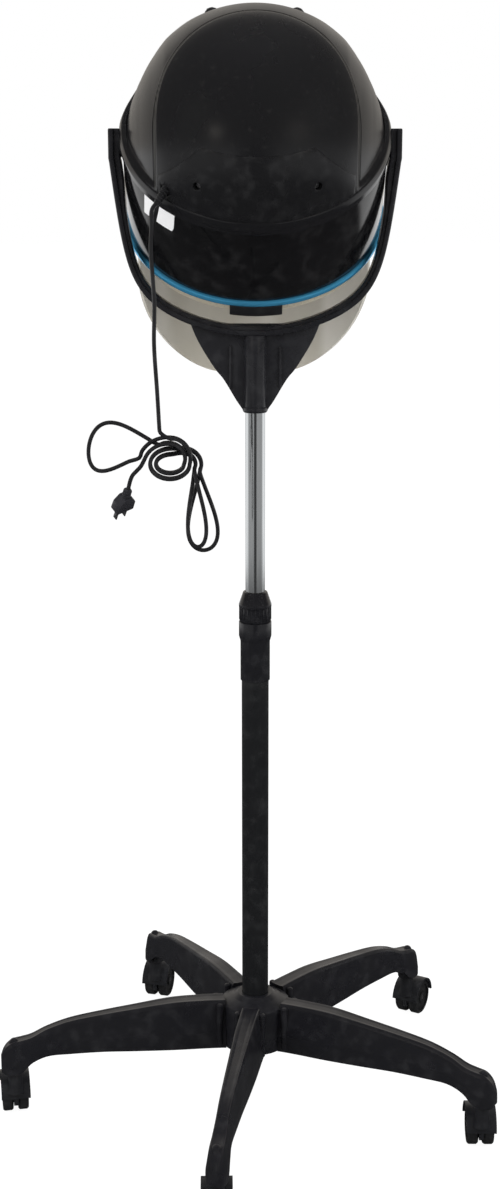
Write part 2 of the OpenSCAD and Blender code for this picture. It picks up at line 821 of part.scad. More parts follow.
module trim_ring() {
    color("#2f7fd0") in_hood() rotate_extrude() translate([0, ring_t - ring_h / 2]) union() {
        translate([ring_r - ring_h / 2, 0]) circle(d = ring_h, $fn = 24);
        translate([housing_r - shell_wall - 2, -ring_h / 2])
            square([ring_r - ring_h / 2 - housing_r + shell_wall + 2, ring_h]);
    }
}

// Outline with n flutes, depth deep, at radius r
function fluted(r, n, depth) = [
    for (k = [0:2 * n - 1])
        let (a = k * 180 / n, q = r - (k % 2) * depth) [q * cos(a), q * sin(a)]];

module ribbed_collar() {
    $fn = 240;                      // so that the thin wall's facets hardly change its volume
    color("#b6aa96") in_hood() translate([0, 0, mouth_t]) difference() {
        union() {
            linear_extrude(ribbed_h) polygon(fluted(ribbed_r, rib_count, 1.4));
            rod(ribbed_r - 0.4, 0, 2.5);
        }
        rod(collar_in, -eps, ribbed_h + eps);
        difference() {
            translate([-clip_w / 2 - 1, -ribbed_r - clip_out - 1, 1])
                cube([clip_w + 2, clip_deep, ribbed_h]);
            rod(ribbed_r - 3, 0, ribbed_h + 2);
        }
    }
}

module rear_clip() {
    color("#1f1f22") in_hood() translate([0, 0, mouth_t + 1]) difference() {
        intersection() {
            translate([-clip_w / 2, -ribbed_r - clip_out, 0])
                cube([clip_w, clip_deep, ribbed_h - 1]);
            rod(ribbed_r + 2, 0, ribbed_h);
        }
        rod(ribbed_r - 3, -eps, ribbed_h + eps);
        for (side = [-1, 1]) translate([side * clip_w / 6 - 5, -ribbed_r - clip_out, 4.5])
            cube([10, 3.2, 7]);
    }
}

// Half section of the liner's outside, grown by g from its inner face
module liner_section(g) {
    union() {
        translate([0, mouth_t - (g > 0 ? 0 : eps)])
            square([liner_r + g, crown_foot - mouth_t + (g > 0 ? 0 : eps)]);
        translate([0, crown_foot]) square([crown_half, corner_r + g]);
        intersection() {
            translate([crown_half, crown_foot]) circle(r = corner_r + g);
            translate([0, crown_foot]) square([2 * liner_r, 2 * liner_r]);
        }
    }
}

// The liner's straight wall, with the rim that seats in the ribbed collar
module inner_liner() {
    color("#d8d2c6") in_hood() union() {
        tube(liner_r, liner_r + liner_wall, mouth_t, crown_foot);
        tube(liner_r, collar_in - run, mouth_t, mouth_t + 2.5);
    }
}

// The crown that closes the wall, with the air slots round its corner
module liner_crown() {
    slot_count = 20;
    slot_rise = 28;                 // up from the corner's centre
    color("#d2ccbf") in_hood() difference() {
        rotate_extrude() intersection() {
            liner_section(liner_wall);
            translate([0, crown_foot]) square(2 * liner_r);
        }
        rotate_extrude() liner_section(0);
        rod(guard_r, crown_t - eps, crown_t + liner_wall + eps);
        for (k = [0:slot_count - 1]) rotate([0, 0, (k + 0.5) * 360 / slot_count])
            translate([crown_half, 0, crown_foot]) rotate([0, 90 - slot_rise, 0])
                rod(4, corner_r - 2 * liner_wall, corner_r + 2 * liner_wall);
    }
}

module fan_guard() {
    z0 = crown_t - 1;
    z1 = crown_t + liner_wall;
    color("#8f8c86") in_hood() union() {
        tube(guard_r - 4, guard_r, z0, z1);
        for (k = [1:3]) tube(guard_r * k / 4 - guard_ring_w / 2, guard_r * k / 4 + guard_ring_w / 2,
            z0, z1);
        rod(5, z0, z1);
        for (k = [0:5]) rotate([0, 0, k * 60])
            translate([4, -1.2, z0]) cube([guard_r - 6, 2.4, z1 - z0]);
    }
}

// ---- fan, motor and heater -----------------------------------------------------

module motor() {
    top = motor_t + motor_h;
    color("#8a8d92") in_hood() difference() {
        union() {
            rod(motor_r, motor_t, top);
            rod(post_x + 6, top - motor_flange, top);
            rod(8, motor_t - 2, motor_t);
        }
        rod(shaft_d / 2 + run, motor_t - 2 - eps, top - 4);
    }
}

module motor_shaft() {
    color("#c6c9cd") in_hood() rod(shaft_d / 2, fan_t + 2, motor_t + motor_h - 5);
}

// One backward-curved blade as a strip between two arcs
function blade(r0, r1, sweep, t) =
    let (n = 5, at = function (k, o) let (r = r0 + (r1 - r0) * k / n, a = sweep * pow(k / n, 1.4))
        [r * cos(a) - o * sin(a), r * sin(a) + o * cos(a)])
    concat([for (k = [0:n]) at(k, t / 2)], [for (k = [n:-1:0]) at(k, -t / 2)]);

module impeller() {
    color("#d4d1c8") in_hood() difference() {
        union() {
            rod(fan_r, fan_t + blade_h - 0.5, fan_t + blade_h + fan_back);
            rod(fan_hub_r, fan_t + 4, fan_t + blade_h + fan_back);
            translate([0, 0, fan_t + 6]) cylinder(r1 = fan_hub_r, r2 = 22, h = blade_h - 6);
            for (k = [0:blade_count - 1]) rotate([0, 0, k * 360 / blade_count])
                translate([0, 0, fan_t]) linear_extrude(blade_h)
                    polygon(blade(fan_r * 0.62, fan_r - 0.4, -20, 1.4));
        }
        rod(shaft_d / 2, fan_t - eps, motor_t);
    }
}

module heater() {
    wire_d = 1.6;
    frame_in = fan_r + 6;
    color("#b48a4c") in_hood() union() {
        tube(frame_in, frame_in + 3, heater_t + 2, heater_t + card_h);
        tube(heater_r - 1.5, heater_r, heater_t + 6, heater_t + card_h - 2);
        for (k = [0:card_count - 1]) rotate([0, 0, (k + 0.5) * 360 / card_count])
            translate([frame_in + 1, -card_t / 2, heater_t + 2])
                cube([heater_r - frame_in - 2, card_t, card_h - 3]);
        for (k = [0:2]) translate([0, 0, heater_t + 9]) rotate_extrude()
            translate([frame_in + (heater_r - frame_in) * (k + 1) / 4, 0])
                circle(d = wire_d, $fn = 16);
    }
}

module thermostat() {
    color("#3c3c40") in_hood() rotate([0, 0, 90])
        translate([fan_r + 9, 0, heater_t + card_h]) {
            translate([-5, -8, 0]) cube([10, 16, 2]);
            rod(5, 1, 8);
            rod(3, 8, 10);
        }
}

module switch_body(side) {
    outer = sqrt(pow(dome_r - shell_wall, 2) - pow(switch_d / 2, 2)) - 0.8;
    at_knob(side) difference() {
        union() {
            rod(switch_d / 2, outer - switch_depth, outer);
            rod(spindle_d / 2 + 3, outer - eps, dome_r - shell_wall - 2);
        }
        rod(spindle_d / 2 + run, outer - switch_depth + 4, dome_r);
    }
}

module timer_switch() { color("#6d6f74") switch_body(-1); }
module temp_switch() { color("#54565b") switch_body(1); }

module knob(side) {
    foot = dome_r - shell_wall - 14;
    at_knob(side) union() {
        rod(spindle_d / 2, foot, seat_at + 2);
        rod(knob_d / 2, seat_at + loose, seat_at + 3);
        translate([0, 0, seat_at + 3]) linear_extrude(knob_h - 5)
            polygon(fluted(knob_d / 2 - 1.5, 18, 1));
        translate([0, 0, seat_at + knob_h - 2])
            cylinder(r1 = knob_d / 2 - 2.2, r2 = knob_d / 2 - 4.5, h = 2);
        translate([-1, 0, seat_at + knob_h - 0.5]) cube([2, knob_d / 2 - 5, 1.3]);
    }
}

module timer_knob() { color("#232327") knob(-1); }
module temp_knob() { color("#232327") knob(1); }

// ---- visor ---------------------------------------------------------------------

// Children drawn in the hood's s-t plane, at x from x0, w wide
module st_plate(x0, w) {
    translate([x0, 0, 0]) rotate([90, 0, 90]) linear_extrude(w) children();
}

module hinge_bracket() {
    color("#26262a") in_hood() difference() {
        union() {
            for (side = [-1, 1])
                st_plate(side > 0 ? lug_in - ear_w - loose : -lug_in + loose, ear_w) union() {
                    polygon([[housing_r - 1.5, ring_t + 24], [housing_r + 5, ring_t + 22],
                             [hinge_s + 5.5, hinge_t + 4], [hinge_s, hinge_t - 5.5],
                             [ring_r + 1, ring_t - 3], [ring_r + 1, ring_t + 1.5],
                             [housing_r - 1.5, ring_t + 2.5]]);
                    translate([hinge_s, hinge_t]) circle(r = 5.5);
                }
            st_plate(-lug_in, 2 * lug_in)
                polygon([[housing_r - 1.5, ring_t + 25], [housing_r + 2.5, ring_t + 25],
                         [housing_r + 2.5, ring_t + 3], [housing_r - 1.5, ring_t + 3]]);
        }
        rod(housing_r, ring_t - eps, seam_t);
        translate([-2 * lug_in, hinge_s, hinge_t]) rotate([0, 90, 0])
            rod(hinge_d / 2, 0, 4 * lug_in);
    }
}

module hinge_pin() {
    half = lug_in + lug_w + 1;
    color("#b9bcc0") translate([0, hinge_y, hinge_z]) rotate([0, 90, 0]) {
        rod(hinge_d / 2, -half, half);
        for (end = [-1, 1]) translate([0, 0, end * (half + 0.75)])
            cylinder(r = hinge_d / 2 + 1, h = 1.5, center = true);
    }
}

// Everything below a plane that tilts about X, through y0, z0, rising at angle a
module below(y0, z0, a) {
    deep = 2 * visor_drop;
    translate([0, y0, z0]) rotate([a, 0, 0]) translate([-2 * visor_r, -2 * deep, -deep])
        cube([4 * visor_r, 4 * deep, deep]);
}

module visor_wall_form(r0, r1) {
    bottom_z = hinge_z - visor_drop;
    mouth_y = -(mouth_t - visor_gap) * sin(hood_lean);
    mouth_z = pivot_z + (mouth_t - visor_gap) * cos(hood_lean);
    intersection() {
        difference() {
            translate([0, visor_y, 0]) tube(r0, r1, bottom_z - 20, hinge_z);
            below(visor_front, bottom_z, -visor_slope);
        }
        below(mouth_y, mouth_z, hood_lean);
        translate([-2 * visor_r, visor_back, 0]) cube([4 * visor_r, 4 * visor_r, 2 * pivot_z]);
    }
}

module visor() {
    bottom_z = hinge_z - visor_drop;
    color("#a79a88") difference() {
        union() {
            visor_wall_form(visor_r - visor_wall, visor_r);
            intersection() {
                visor_wall_form(visor_r - visor_wall, visor_r + 0.7);
                below(visor_front, bottom_z + visor_line, -visor_slope);
            }
            for (side = [-1, 1]) intersection() {
                visor_wall_form(visor_r - 1, visor_r + 0.8);
                translate([0, visor_y, bottom_z]) rotate([0, 0, 90 - side * rib_turn])
                    translate([0, -2, 0]) cube([2 * visor_r, 4, visor_drop]);
            }
            for (side = [-1, 1])
                translate([side > 0 ? lug_in : -lug_in - lug_w, 0, 0])
                    rotate([90, 0, 90]) linear_extrude(lug_w) union() {
                        translate([hinge_y, hinge_z]) circle(r = knuckle_r);
                        polygon([[visor_front - 1.8, hinge_z - 34], [visor_front, hinge_z - 38],
                                 [visor_front + 1.5, hinge_z - 20],
                                 [hinge_y + knuckle_r, hinge_z], [visor_front - 1.8, hinge_z]]);
                    }
        }
        translate([-2 * lug_in - lug_w, hinge_y, hinge_z]) rotate([0, 90, 0])
            rod(hinge_d / 2 + run, 0, 4 * lug_in + 2 * lug_w);
    }
}

// ---- supply cord ---------------------------------------------------------------

module strain_relief() {
    color("#1b1b1d") aim(exit_at, boot_dir) union() {
        rod(5.8, -12, 4);
        translate([0, 0, 4]) cylinder(r1 = 5.2, r2 = 3.4, h = boot_len - 4);
        for (k = [0:4]) rod(5.6 - 0.35 * k, 6 + 4 * k, 8 + 4 * k);
    }
}

boot_tip = exit_at + boot_len * unit(boot_dir);

// The cord's free drop, from the boot to the knot
drop_route = [
    boot_tip + 0.6 * unit(boot_dir),
    boot_tip + 10 * unit(boot_dir),
    [-122, -124, pivot_z - 97],
    [-123, -124, pivot_z - 125],
    [-120, -121, pivot_z - 180],
    [-121, -119, pivot_z - 230],
    [-118, -121, pivot_z - 285],
    drop_end];

module cord_drop() {
    color("#161617") skin(tube_rings(spline(drop_route, 4), cord_r, 8));
}

// The knot: four strands follow one path that turns clockwise round an oval eye,
// first wide over the top, then tight round the eye, then wide again to the right.
// Turning angles run from 0 at the left over 90 at the top.
eye_a = 20;                         // half breadth and half height of the tight turn
eye_b = 14.5;
pitch = cord_d + 1.9;               // between neighbouring strands
knot_from = 12;
knot_to = 558;
top_from = 62;                      // where the strand from the left loop joins the knot
tail_from = 24;                     // where the last strand leaves the knot

function ease(a, a0, a1) = let (u = min(max((a - a0) / (a1 - a0), 0), 1)) u * u * (3 - 2 * u);
function knot_wide(a) = 2.03 * pitch * (1 - ease(a, 95, 185) + ease(a, 455, 545));
function knot_lift(a) =
    1.36 * pitch * (sin(180 * ease(a, 48, 228)) - sin(180 * ease(a, 408, 588)));
// n is the strand's offset outwards, w its offset towards -Y
function knot_point(a, n, w) =
    let (o = knot_wide(a) + n)
    knot + [-cos(a) * (eye_a + o), -w - knot_lift(a), sin(a) * (eye_b + o)];
// sink is how far back the strand starts
function knot_pass(a0, a1, n, w, sink = 0) =
    let (steps = round(abs(a1 - a0) / 15)) [
        for (k = [0:steps]) let (a = a0 + (a1 - a0) * k / steps)
            knot_point(a, n, w) + [0, sink * (1 - ease(a, a0, a0 + 50)), 0]];

// A teardrop loop from p to q that hangs along d, with its first half bulging to side;
// back is how far its end lies towards +Y
function loop(p, q, d, side, length, width, back) = [
    for (k = [1:23]) let (u = k / 24)
        p + (q - p) * u + d * length * pow(sin(180 * u), 0.85)
            + side * width / 2 * sin(360 * u) + [0, back * sqrt(sin(180 * u)), 0]];

half = pitch / 2;
sink = 6;
hang = [0.04, 0, -1];
right = [1, 0, 0.04];
left_hang = [-1, 0, 0.06];
left_side = [-0.06, 0, -1];
start_c = knot_point(top_from, -half, -half) + [0, sink, 0];
tail_route = [knot + [-34, -4, -1.5], knot + [-40, -5, -8], knot + [-44.5, -5, -13],
    knot + [-47.5, -4.5, -20], knot + [-50, -4, -30]];

bundle_route = concat(
    [drop_end, drop_end + [1.5, -2.5, -6]],
    knot_pass(88, knot_to, half, half),
    loop(knot_point(knot_to, half, half), knot_point(knot_to, half, -half),
        hang, right, 98, 36, 11),
    knot_pass(knot_to, knot_from, half, -half),
    loop(knot_point(knot_from, half, -half), start_c, left_hang, left_side, 72, 50, 19),
    knot_pass(top_from, knot_to, -half, -half, sink),
    loop(knot_point(knot_to, -half, -half), knot_point(knot_to, -half, half),
        hang, -right, 92, 22, -8),
    knot_pass(knot_to, tail_from, -half, half),
    tail_route);

// Least gap between stretches of the bundle that aren't neighbours along the cord
function self_gap(path, skip) = min([
    for (i = [0:len(path) - 1 - skip], j = [i + skip:len(path) - 1]) norm(path[i] - path[j])])
    - cord_d;
echo(bundle_gap = self_gap(bundle_route, 5));

module cord_bundle() {
    color("#161617") skin(tube_rings(bundle_route, cord_r, 6));
}

plug_dir = [-0.25, 0.62, -0.74];
plug_at = tail_route[len(tail_route) - 1];

module plug() {
    color("#3a3a40") aim(plug_at, plug_dir) rotate([0, 0, 70]) {
        rod(4.6, 0, 13);
        for (k = [0:2]) rod(5.4, 2 + 4 * k, 4 + 4 * k);
        translate([0, 7, 12]) rotate([90, 0, 0]) linear_extrude(14)
            polygon([[-5, 0], [5, 0], [12, 9], [12.5, 24], [-12.5, 24], [-12, 9]]);
        for (side = [-1, 1]) translate([side * 6.35 - 0.75, -3.2, 35]) cube([1.5, 6.4, 17]);
    }
}

// ---- output --------------------------------------------------------------------

hub();
hub_plate();
hub_screws();
leg_1();
leg_2();
leg_3();
leg_4();
leg_5();
caster_stems();
lower_tube();
collar_body();
lock_nut();
split_bush();
chrome_tube();
tube_stop();
fork();
fork_screw();
pivot_screws();
friction_washers();
top_shell();
rear_cover();
cover_screws();
lower_housing();
trim_ring();
ribbed_collar();
rear_clip();
inner_liner();
liner_crown();
fan_guard();
motor();
motor_shaft();
impeller();
heater();
thermostat();
timer_switch();
temp_switch();
timer_knob();
temp_knob();
strain_relief();
hinge_bracket();
hinge_pin();
visor();
cord_drop();
cord_bundle();
plug();
caster_1_housing();
caster_1_axle();
caster_1_wheels();
caster_2_housing();
caster_2_axle();
caster_2_wheels();
caster_3_housing();
caster_3_axle();
caster_3_wheels();
caster_4_housing();
caster_4_axle();
caster_4_wheels();
caster_5_housing();
caster_5_axle();
caster_5_wheels();
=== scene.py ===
# %% [markdown]
# # A hood hair dryer on a rolling stand
# The machine is a dome of black plastic held in a fork, on a pole with five legs.
# Its exact shapes come from a CAD model, which is loaded here as a fixed frame, and
# every piece made in this lesson except the lead rides on one of that model's bodies.
# Lengths are written in millimetres, as on a drawing, and turned into metres in one place.

# %% The frame and its size
import math

import bmesh
import bpy
import numpy as np
from mathutils import Matrix, Vector


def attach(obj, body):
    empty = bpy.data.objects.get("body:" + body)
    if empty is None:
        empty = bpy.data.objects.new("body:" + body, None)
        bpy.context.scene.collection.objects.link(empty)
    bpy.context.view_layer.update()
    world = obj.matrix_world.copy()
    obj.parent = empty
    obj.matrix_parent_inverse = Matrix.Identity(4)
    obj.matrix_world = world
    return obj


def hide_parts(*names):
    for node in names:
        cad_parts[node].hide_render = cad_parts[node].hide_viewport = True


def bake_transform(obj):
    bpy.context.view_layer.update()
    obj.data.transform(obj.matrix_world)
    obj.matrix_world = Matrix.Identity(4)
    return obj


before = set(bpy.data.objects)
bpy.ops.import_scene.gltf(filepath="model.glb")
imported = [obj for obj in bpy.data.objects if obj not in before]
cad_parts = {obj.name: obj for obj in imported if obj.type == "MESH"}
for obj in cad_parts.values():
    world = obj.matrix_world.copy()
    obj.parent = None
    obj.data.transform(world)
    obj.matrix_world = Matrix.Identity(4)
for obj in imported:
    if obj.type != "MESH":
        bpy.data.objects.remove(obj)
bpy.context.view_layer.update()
MM = 0.001
PIVOT_Z = 1265.0
LEAN = 41.0
SIDES = (-1, 1)


def new_object(name, data):
    """An object that holds the data, linked to the scene."""
    thing = bpy.data.objects.new(name, data)
    bpy.context.scene.collection.objects.link(thing)
    return thing


# %% [markdown]
# ## The camera
# The stand is looked at from behind, from about head height and a little over two
# metres away. A long picture of a tall object needs the sensor's long side upright,
# which Blender's automatic fit does by itself. A small shift of the lens moves the
# picture sideways, where turning the camera would also change what it sees.

# %% The camera
TALL, FOCAL, ASIDE = 1189.0, 1770.5, -5.2
view = bpy.data.cameras.new("salon_view")
view.sensor_width = 36.0
view.lens = 36.0 * FOCAL / TALL
view.shift_x = ASIDE / TALL
camera = new_object("salon_view", view)
camera.location = (-0.0462, -2.2058, 1.2308)
camera.rotation_euler = (math.radians(90 - 13.389), 0, math.radians(-1.2))
bpy.context.scene.camera = camera
print(f"camera: {view.lens:.1f} mm lens at {camera.location.z:.2f} m")

# %% [markdown]
# ## Forms
# A form is a list of points and a list of faces. Small functions make the shapes that
# this machine is built from: things turned on a lathe, skins stretched over rings,
# plates cut from an outline, and tubes that follow a path. Forms can be added and
# moved before one call makes a mesh object of them.


# %% A form, and how it becomes a piece
class Form:
    """Points in millimetres and the faces between them."""

    def __init__(self, points, faces):
        self.points = np.asarray(points, float).reshape(-1, 3)
        self.faces = [tuple(int(i) for i in face) for face in faces]

    def __add__(self, other):
        shift = len(self.points)
        moved = [tuple(i + shift for i in face) for face in other.faces]
        return Form(np.vstack([self.points, other.points]), self.faces + moved)

    def at(self, matrix):
        m = np.array(matrix, float)
        return Form(self.points @ m[:3, :3].T + m[:3, 3], self.faces)

    def mesh(self, name):
        made = bpy.data.meshes.new(name)
        made.from_pydata((self.points * MM).tolist(), [], self.faces)
        work = bmesh.new()
        work.from_mesh(made)
        bmesh.ops.remove_doubles(work, verts=work.verts, dist=1e-6)
        bmesh.ops.recalc_face_normals(work, faces=work.faces)
        work.to_mesh(made)
        work.free()
        return made

    def softened(self, width, angle=30.0, steps=2):
        """The same form with its sharp edges rounded off."""
        work = bmesh.new()
        work.from_mesh(self.mesh("draft"))
        sharp = [
            e
            for e in work.edges
            if len(e.link_faces) == 2 and e.calc_face_angle(0) > math.radians(angle)
        ]
        bmesh.ops.bevel(
            work, geom=sharp, offset=width * MM, segments=steps, profile=0.5,
            affect="EDGES", clamp_overlap=True,
        )
        work.verts.index_update()
        points = [v.co / MM for v in work.verts]
        faces = [[v.index for v in f.verts] for f in work.faces]
        work.free()
        return Form(points, faces)

    def piece(self, name, finish, body, *stands_for, sharp=32.0):
        """Makes the object, gives it its finish and lets it ride on a body."""
        made = self.mesh(name)
        made.shade_smooth()
        made.set_sharp_from_angle(angle=math.radians(sharp))
        made.materials.append(finish.material)
        thing = new_object(name, made)
        if body:
            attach(thing, body)
        if stands_for:
            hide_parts(*stands_for)
        print(f"{name}: {len(made.polygons)} faces")
        return thing


def joined(forms):
    """Several forms as one."""
    total = Form([], [])
    for form in forms:
        total = total + form
    return total


# %% [markdown]
# ### Places
# A matrix says where a form goes. Turning an object would do it too, but a pattern on
# Object coordinates would then turn with it, so the points themselves are moved. The
# hood has a place of its own, because everything on it leans by the same angle.


# %% Places: along the hood, and along any line
def moved(x=0.0, y=0.0, z=0.0):
    return Matrix.Translation((x, y, z))


def turned(degrees, axis):
    return Matrix.Rotation(math.radians(degrees), 4, axis)


HOOD = moved(z=PIVOT_Z) @ turned(LEAN, "X")
print("the hood leans", LEAN, "degrees about", PIVOT_Z, "mm")


def aimed(point, direction):
    """Turns +Z to a direction and moves the origin to a point."""
    d = Vector(direction).normalized()
    tilt = math.degrees(math.acos(max(-1.0, min(1.0, d.z))))
    return moved(*point) @ turned(math.degrees(math.atan2(d.y, d.x)), "Z") @ turned(tilt, "Y")


# %% [markdown]
# ### Outlines
# No moulded edge is sharp: a mould can't hold one. A Bevel modifier would round the
# finished mesh, but an outline that is rounded first gives even strips of faces, and
# each corner can have a radius of its own.


# %% Outlines with rounded corners
def rounded(corners, radius, steps=4, closed=True):
    """Cuts each corner of an outline with an arc that touches both sides."""
    corners = [np.asarray(c, float) for c in corners]
    count = len(corners)
    radii = radius if isinstance(radius, (list, tuple)) else [radius] * count
    out = []
    for i, corner in enumerate(corners):
        if radii[i] <= 0 or (not closed and i in (0, count - 1)):
            out.append(corner)
            continue
        a, b = corners[i - 1] - corner, corners[(i + 1) % count] - corner
        la, lb = np.linalg.norm(a), np.linalg.norm(b)
        a, b = a / la, b / lb
        half = math.acos(max(-1.0, min(1.0, float(a @ b)))) / 2
        if half > math.radians(88):
            out.append(corner)
            continue
        reach = min(radii[i] / math.tan(half), 0.48 * la, 0.48 * lb)
        r = reach * math.tan(half)
        middle = corner + (a + b) / np.linalg.norm(a + b) * r / math.sin(half)
        start, end = corner + a * reach - middle, corner + b * reach - middle
        turn = math.atan2(start[0] * end[1] - start[1] * end[0], float(start @ end))
        for k in range(steps + 1):
            c, s = math.cos(turn * k / steps), math.sin(turn * k / steps)
            spun = [start[0] * c - start[1] * s, start[0] * s + start[1] * c]
            out.append(middle + np.array(spun))
    return out


# %% [markdown]
# ### Solids from outlines
# Four ways of making a solid serve nearly every piece here: an outline turned round an
# axis, a skin over a row of rings, a flat plate and a tube along a path. Where the CAD
# shape is already right, a merged copy of it starts the piece.


# %% Lathe, skin, plate and tube
def lathe(profile, turns=96, closed=True):
    """Turns a profile of (radius, height) round the Z axis."""
    points, faces = [], []
    n = len(profile)
    for k in range(turns):
        a = 2 * math.pi * k / turns
        points += [(r * math.cos(a), r * math.sin(a), z) for r, z in profile]
    for k in range(turns):
        a, b = k * n, (k + 1) % turns * n
        for i in range(n if closed else n - 1):
            j = (i + 1) % n
            quad = [a + i, a + j, b + j, b + i]
            if max(abs(profile[i][0]), abs(profile[j][0])) < 1e-9:
                continue
            if abs(profile[i][0]) < 1e-9:
                quad = [a + i, a + j, b + j]
            elif abs(profile[j][0]) < 1e-9:
                quad = [a + i, a + j, b + i]
            faces.append(quad)
    return Form(points, faces)


def skin(rings, caps=True):
    """Stretches a skin over rings with equal numbers of points."""
    n, last = len(rings[0]), len(rings) - 1
    faces = [
        (k * n + i, k * n + (i + 1) % n, (k + 1) * n + (i + 1) % n, (k + 1) * n + i)
        for k in range(last)
        for i in range(n)
    ]
    if caps:
        faces += [tuple(range(n)), tuple(last * n + i for i in reversed(range(n)))]
    return Form([p for ring in rings for p in ring], faces)


def plate(outline, low, high):
    """A flat plate with an outline in X and Y, from one height to another."""
    return skin([[(x, y, z) for x, y in outline] for z in (low, high)])


def box(low, high):
    (a, b, c), (d, e, f) = low, high
    return plate([(a, b), (d, b), (d, e), (a, e)], c, f)


def tube(path, radius, sides=14):
    """A round tube whose rings don't twist along the path."""
    path = np.asarray(path, float)
    ahead = np.gradient(path, axis=0)
    ahead /= np.linalg.norm(ahead, axis=1)[:, None]
    side = np.cross(ahead[0], [0, 1, 0])
    rings = []
    for p, d in zip(path, ahead):
        side = side - (side @ d) * d
        side /= np.linalg.norm(side)
        up = np.cross(d, side)
        rings.append(
            [
                p + radius * (math.cos(a) * side + math.sin(a) * up)
                for a in np.arange(sides) * 2 * math.pi / sides
            ]
        )
    return skin(rings)


def smooth_path(points, steps):
    """A Catmull-Rom curve through the points."""
    p = np.asarray(points, float)
    out = []
    for i in range(len(p) - 1):
        a, b, c, d = p[max(i - 1, 0)], p[i], p[i + 1], p[min(i + 2, len(p) - 1)]
        for k in range(steps):
            u = k / steps
            out.append(
                0.5 * (2 * b + (c - a) * u + (2 * a - 5 * b + 4 * c - d) * u * u
                       + (3 * b - a - 3 * c + d) * u ** 3)
            )
    return np.array(out + [p[-1]])


def plain_mesh(thing):
    """An object's mesh with its modifiers applied."""
    bpy.context.view_layer.update()
    depsgraph = bpy.context.evaluated_depsgraph_get()
    return bpy.data.meshes.new_from_object(thing.evaluated_get(depsgraph))


def cad_form(node):
    """A merged copy of a CAD node's mesh, in millimetres."""
    work = bmesh.new()
    work.from_mesh(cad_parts[node].data)
    bmesh.ops.remove_doubles(work, verts=work.verts, dist=2e-6)
    flat = [e for e in work.edges if len(e.link_faces) == 2 and e.calc_face_angle(9) < 0.002]
    bmesh.ops.dissolve_limit(work, angle_limit=0.002, verts=work.verts, edges=flat)
    work.verts.index_update()
    points = [v.co / MM for v in work.verts]
    faces = [[v.index for v in f.verts] for f in work.faces]
    work.free()
    return Form(points, faces)


# %% [markdown]
# ## Finishes
# Almost everything here is black plastic, so the materials differ in gloss, grain and
# the way light catches them more than in colour. Image textures could carry such
# differences, but nodes are sharp at any distance and need no file. Shader maths reads
# like ordinary Python with a small class that wraps a socket: each operator adds its
# Math node.


# %% Shader maths written as Python
class Wire:
    """A socket of a material's node tree that takes part in sums."""

    def __init__(self, finish, socket):
        self.finish, self.socket = finish, socket

    def _sum(self, operation, *values):
        return self.finish.node("ShaderNodeMath", {"operation": operation}, *values)

    def __add__(self, other):
        return self._sum("ADD", self, other)

    def __sub__(self, other):
        return self._sum("SUBTRACT", self, other)

    def __rsub__(self, other):
        return self._sum("SUBTRACT", other, self)

    def __mul__(self, other):
        return self._sum("MULTIPLY", self, other)

    def __truediv__(self, other):
        return self._sum("DIVIDE", self, other)

    __radd__, __rmul__ = __add__, __mul__

    def apply(self, operation, *values):
        return self._sum(operation, self, *values)

    def ramp(self, low, high, start=0.0, end=1.0):
        """Rises smoothly from start to end as the value goes from low to high."""
        return self.finish.node(
            "ShaderNodeMapRange", {"interpolation_type": "SMOOTHSTEP"},
            Value=self, **{"From Min": low, "From Max": high, "To Min": start, "To Max": end},
        )
